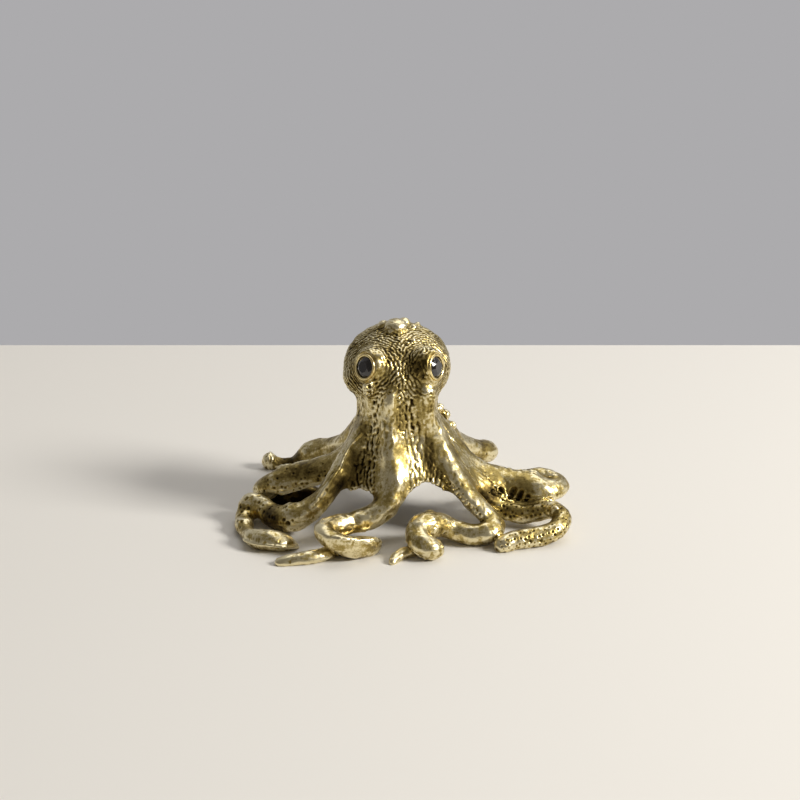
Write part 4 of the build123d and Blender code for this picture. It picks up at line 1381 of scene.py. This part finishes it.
# Seats of the bezels in the skin, in mm from the middle of the rim
seats = {
    "from": 2.55,
    "to": 3.3,
    "behind": -3.0,
    "wall": 2.35,  # the skin meets the cup's wall here
    "underRim": -0.45,
    "underCup": -1.6,
}


def finishSkin(mesh):
    # flats on the ground, the eye sockets, and the marks that the patina, the painted shade and
    # the rubbing read
    points = pointsOf(mesh)
    for eye in eyes.values():
        way = eyeWay(eye)
        off = points - np.array(eye["rim"])
        depth = off @ way
        width = np.linalg.norm(off - depth[:, None] * way, axis=1)
        near = 1 - ease(seats["from"], seats["to"], width)
        infront = (depth > seats["behind"]).astype(float)
        wanted = np.where(width < seats["wall"], seats["underCup"], seats["underRim"])
        points += ((wanted - depth) * near * infront)[:, None] * way
    points[:, 2] = np.maximum(points[:, 2], 0.0)
    setPoints(mesh, points)
    names = ("ridge", "sunk", "calm", "onArm", "onHead", "underWeb", "pore", "cup")
    ridge, sunk, calm, onArm, onHead, underWeb, pore, cup = (readValues(mesh, n) for n in names)
    patterned = (1 - calm) * (1 - 0.85 * onArm * (1 - onHead))
    pits = ease(0.15, -0.75, ridge) * patterned
    # painted shade on the listed dark places
    shade = np.zeros(len(points))
    for centre, halfSizes, much in paintedShadePlaces:
        shade = np.maximum(shade, much * nearness(points, centre, halfSizes, 0.55, 1.2))
    much = patinaShadeAndWear
    # the dark of the skin: patina in pits, pores and cups, patina and painted shade in corners,
    # painted shade under the web and on the dark places
    patinaAndShade = (much["pits"] + much["headPits"] * onHead) * pits
    patinaAndShade = patinaAndShade + much["corners"] * ease(0.02, 0.30, sunk) + much["underWeb"] * underWeb
    patinaAndShade = patinaAndShade + much["pore"] * pore + much["cup"] * cup + shade
    keepValues(mesh, "patinaAndShade", np.clip(patinaAndShade, 0, 1))
    rubbed = much["crests"] * ease(-0.01, -0.12, sunk) + much["calm"] * calm
    keepValues(mesh, "rubbed", np.clip(rubbed, 0, 1))
    for name in names + ("armPlace", "fromEye", "outside"):
        mesh.attributes.remove(mesh.attributes[name])


finishSkin(cast.data)
print("skin finished")


def largestPatch(faces):
    # the faces of the largest patch that holds together
    root = {}

    def find(v):
        while root.setdefault(v, v) != v:
            root[v] = root[root[v]]
            v = root[v]
        return v

    for a, b, c, d in faces.tolist():
        top = find(a)
        for v in (b, c, d):
            other = find(v)
            if other != top:
                root[other] = top
    tops = np.array([find(v) for v in faces[:, 0].tolist()])
    values, counts = np.unique(tops, return_counts=True)
    return tops == values[counts.argmax()]


def closedPiece(name, points, faces, values):
    # a patch of the skin with a fan over each open rim, so that it is a closed solid
    used, local = np.unique(faces, return_inverse=True)
    local = local.reshape(faces.shape)
    starts, ends = local.ravel(), np.roll(local, -1, axis=1).ravel()
    count = len(used)
    forward = starts.astype(np.int64) * count + ends
    bare = ~np.isin(forward, ends.astype(np.int64) * count + starts)
    following = dict(zip(starts[bare].tolist(), ends[bare].tolist()))
    shape = points[used].tolist()
    kept = {k: v[used].tolist() for k, v in values.items()}
    fans, rims = [], 0
    while following:
        first = next(iter(following))
        loop = [first]
        while loop[-1] in following:
            step = following.pop(loop[-1])
            if step == first:
                break
            loop.append(step)
        middle = len(shape)
        shape.append(np.mean([shape[i] for i in loop], axis=0).tolist())
        for key in kept:
            kept[key].append(np.mean([kept[key][i] for i in loop], axis=0).tolist())
        for i, v in enumerate(loop):
            fans.append((loop[(i + 1) % len(loop)], v, middle))
        rims += 1
    piece = newPiece(name, shape, [], local.tolist() + fans)
    for key, value in kept.items():
        keepValues(piece.data, key, value)
    triangles = 2 * len(local) + len(fans)
    if triangles > figure["mostTriangles"]:  # the flattest places give up some of theirs
        modifier = piece.modifiers.new("ease", "DECIMATE")
        modifier.ratio = figure["mostTriangles"] / triangles
        settle(piece)
    mesh = piece.data
    lean = vectorsOf(mesh.attributes["lean"].data, "vector", len(mesh.vertices))
    mesh.attributes.remove(mesh.attributes["lean"])
    smoothShaded(mesh)
    mesh.normals_split_custom_set_from_vertices(lean)
    print("  ", name, len(mesh.polygons), "faces,", rims, "rim")
    return piece


def cutIntoPieces(piece):
    # one piece for each arm casting, and the body in two at the neck
    mesh = piece.data
    corners = np.empty(len(mesh.loops), dtype=np.int32)
    mesh.loops.foreach_get("vertex_index", corners)
    faces = corners.reshape(-1, 4)
    points = pointsOf(mesh) * metresPerMm
    values = {name: readValues(mesh, name) for name in ("patinaAndShade", "rubbed")}
    values["lean"] = normalsOf(mesh)
    owner = casting[faces].min(axis=1)
    made = []
    for number, armName in enumerate(arms, 1):
        chosen = np.flatnonzero(owner == number)
        whole = largestPatch(faces[chosen])
        owner[chosen[~whole]] = 0
        made.append(closedPiece("skin_" + armName, points, faces[chosen[whole]], values))
    body = owner == 0
    high = points[faces][:, :, 2].mean(axis=1) > figure["neckCut"] * metresPerMm
    made.append(closedPiece("skin_mantle", points, faces[body & high], values))
    made.append(closedPiece("skin_web", points, faces[body & ~high], values))
    bpy.data.objects.remove(piece)
    return made


for piece in cutIntoPieces(cast):
    piece.data.materials.append(brass)
    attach(piece, "root")
    name = piece.name.removeprefix("skin_")
    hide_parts("mantle_and_web" if name in ("mantle", "web") else name)
print("cast skin cut into its pieces")

# Eyes: a turned bezel and a round brilliant stone in it
eyeSizes = {
    "stoneRadius": 2.0,
    "tableRadius": 1.1,
    "crown": 0.62,
    "girdle": 0.2,
    "pavilion": 1.25,
    "stoneDrop": 0.28,
    "bezelOuter": 2.53,
    "bezelDeep": 2.3,
    "bezelGap": 0.02,
    "lipLow": 0.18,
    "lipRound": 0.2,
    "kiteOut": 1.02,
    "kiteHigh": 0.56,
}


def eyeFrame(eye):
    # where the eye looks, and the two directions across it
    way = Vector(eyeWay(eye))
    across = Vector((0, 0, 1)).cross(way).normalized()
    return way, across, way.cross(across)


def turned(name, eye, profile, steps):
    # a profile of radius and height spun about the eye's axis
    way, across, upward = eyeFrame(eye)
    origin = Vector(eye["rim"])
    points, faces = [], []
    for radius, height in profile:
        for i in range(steps):
            turn = 2 * math.pi * i / steps
            out = across * math.cos(turn) + upward * math.sin(turn)
            points.append(tuple(origin + out * radius + way * height))
    rows = len(profile)
    for k in range(rows):
        for i in range(steps):
            j = (i + 1) % steps
            n = (k + 1) % rows
            faces.append((k * steps + i, k * steps + j, n * steps + j, n * steps + i))
    piece = newPiece(name, points, [], faces)
    work = bmesh.new()
    work.from_mesh(piece.data)
    bmesh.ops.recalc_face_normals(work, faces=work.faces)
    work.to_mesh(piece.data)
    work.free()
    return piece


def brilliant(name, eye):
    # table, star, kite and girdle facets, as in a round cut stone
    way, across, upward = eyeFrame(eye)
    origin = Vector(eye["rim"]) - way * eyeSizes["stoneDrop"]
    radius, table = eyeSizes["stoneRadius"], eyeSizes["tableRadius"]
    work = bmesh.new()

    def corner(size, height, turn):
        out = across * math.cos(turn) + upward * math.sin(turn)
        return work.verts.new(origin + out * size + way * height)

    eighth = math.pi / 4
    top = [corner(table, eyeSizes["crown"], eighth * i) for i in range(8)]
    kite = 0.5 * (table + radius) * eyeSizes["kiteOut"]
    kiteHigh = eyeSizes["kiteHigh"] * eyeSizes["crown"]
    middle = [corner(kite, kiteHigh, eighth * (i + 0.5)) for i in range(8)]
    rim = [corner(radius, 0.0, eighth * i / 2) for i in range(16)]
    low = [corner(radius, -eyeSizes["girdle"], eighth * i / 2) for i in range(16)]
    tip = work.verts.new(origin - way * (eyeSizes["girdle"] + eyeSizes["pavilion"]))
    work.faces.new(top)
    for i in range(8):
        j = (i + 1) % 8
        work.faces.new((top[i], middle[i], top[j]))
        work.faces.new((top[i], middle[i - 1], rim[2 * i], middle[i]))
        work.faces.new((middle[i], rim[2 * i], rim[2 * i + 1]))
        work.faces.new((middle[i], rim[2 * i + 1], rim[(2 * i + 2) % 16]))
    for i in range(16):
        j = (i + 1) % 16
        work.faces.new((rim[i], low[i], low[j], rim[j]))
        work.faces.new((low[i], tip, low[j]))
    bmesh.ops.recalc_face_normals(work, faces=work.faces)
    return pieceOf(name, work)


for side, eye in eyes.items():
    outer, inner = eyeSizes["bezelOuter"], eyeSizes["stoneRadius"] + eyeSizes["bezelGap"]
    middle, half = (outer + inner) / 2, (outer - inner) / 2
    lip = [
        (middle + half * math.cos(a), -eyeSizes["lipLow"] + eyeSizes["lipRound"] * math.sin(a))
        for a in np.linspace(0, math.pi, 9)
    ]
    deep = -eyeSizes["bezelDeep"]
    bezel = turned("bezel_" + side, eye, [(outer, deep)] + lip + [(inner, deep)], 64)
    smoothShaded(bezel.data)
    stone = brilliant("stone_" + side, eye)
    for piece, material, slot, node in (
        (bezel, bezelBrass, "bezel_brass", "eye_bezel_"),
        (stone, stoneGlass, "eye_stone", "eye_stone_"),
    ):
        setPoints(piece.data, pointsOf(piece.data) * metresPerMm)
        piece.data.materials.append(material)
        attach(piece, "root")
        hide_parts(node + side)
print("eyes set")

# Plain pale floor that runs back to a grey wall, in a room with a window to the right
room = {
    "floorSide": 1600.0,
    "floorFront": -900.0,
    "floorBack": 107.0,
    "floorColour": "#E2DFD8",
    "wallColour": "#ACABAD",
    "roomColour": "#74706B",  # the darker side of the room, behind the camera
    "wallFrom": -0.3,
    "wallTo": 0.7,
    "lampsAim": 15,  # mm above the table
    "lamps": [  # name, degrees to the side, height in degrees, distance, size, power, colour
        ("window", 72.0, 31.0, 900.0, 260.0, 9.2, "#FFFCF8"),
        ("ceiling", 150.0, 62.0, 800.0, 700.0, 2.2, "#F4F2F0"),
    ],
}


def plainSurface(name, code):
    material = bpy.data.materials.new(name)
    material.use_nodes = True
    shader = material.node_tree.nodes["Principled BSDF"]
    shader.inputs["Base Color"].default_value = toLinear(code)
    shader.inputs["Roughness"].default_value = 0.6
    shader.inputs["Specular IOR Level"].default_value = 0.2
    return material


side, front, back = (room[k] * metresPerMm for k in ("floorSide", "floorFront", "floorBack"))
corners = [(-side, front, 0), (side, front, 0), (side, back, 0), (-side, back, 0)]
floor = newPiece("floor", corners, [], [(0, 1, 2, 3)])
floor.data.materials.append(plainSurface("limewashedTable", room["floorColour"]))

world = bpy.data.worlds.new("room")
bpy.context.scene.world = world
world.use_nodes = True
tree = world.node_tree
tree.nodes.clear()
way = addNode(tree, "ShaderNodeTexCoord").outputs["Generated"]
way = addNode(tree, "ShaderNodeSeparateXYZ", {0: way}).outputs["Y"]
limits = {"Value": way, "From Min": room["wallFrom"], "From Max": room["wallTo"]}
toWall = addNode(tree, "ShaderNodeMapRange", limits)
walls = mixed(
    tree, toWall, toLinear(room["roomColour"]), toLinear(room["wallColour"]), "RGBA"
)
around = addNode(tree, "ShaderNodeBackground", {"Color": walls, "Strength": 1.0})
addNode(tree, "ShaderNodeOutputWorld", {"Surface": around.outputs[0]})


def softLamp(name, side, height, distance, size, power, code):
    # a square lamp that looks at the figurine
    lamp = bpy.data.lights.new(name, "AREA")
    lamp.shape = "RECTANGLE"
    lamp.size = size * metresPerMm
    lamp.size_y = size * metresPerMm
    lamp.energy = power
    lamp.color = toLinear(code)[:3]
    piece = linked(name, lamp)
    way = Vector(wayTo(side, height))
    middle = Vector((0, 0, room["lampsAim"] * metresPerMm))
    piece.location = middle + way * distance * metresPerMm
    piece.rotation_euler = (-way).to_track_quat("-Z", "Y").to_euler()


for lamp in room["lamps"]:
    softLamp(*lamp)

# Camera where the photograph was taken from
photograph = {
    "lookAt": (-0.38, 0.0, 22.8),
    "distance": 400.0,
    "elevation": 19.0,
    "lens": 94.5,
    "sensor": 36.0,
}

lens = bpy.data.cameras.new("photograph")
lens.lens = photograph["lens"]
lens.sensor_width = photograph["sensor"]
camera = linked("camera", lens)
elevation = math.radians(photograph["elevation"])
target = Vector(photograph["lookAt"]) * metresPerMm
back = Vector((0, -math.cos(elevation), math.sin(elevation)))
camera.location = target + back * photograph["distance"] * metresPerMm
camera.rotation_euler = (-back).to_track_quat("-Z", "Y").to_euler()
bpy.context.scene.camera = camera
bpy.context.scene.view_settings.view_transform = "Standard"
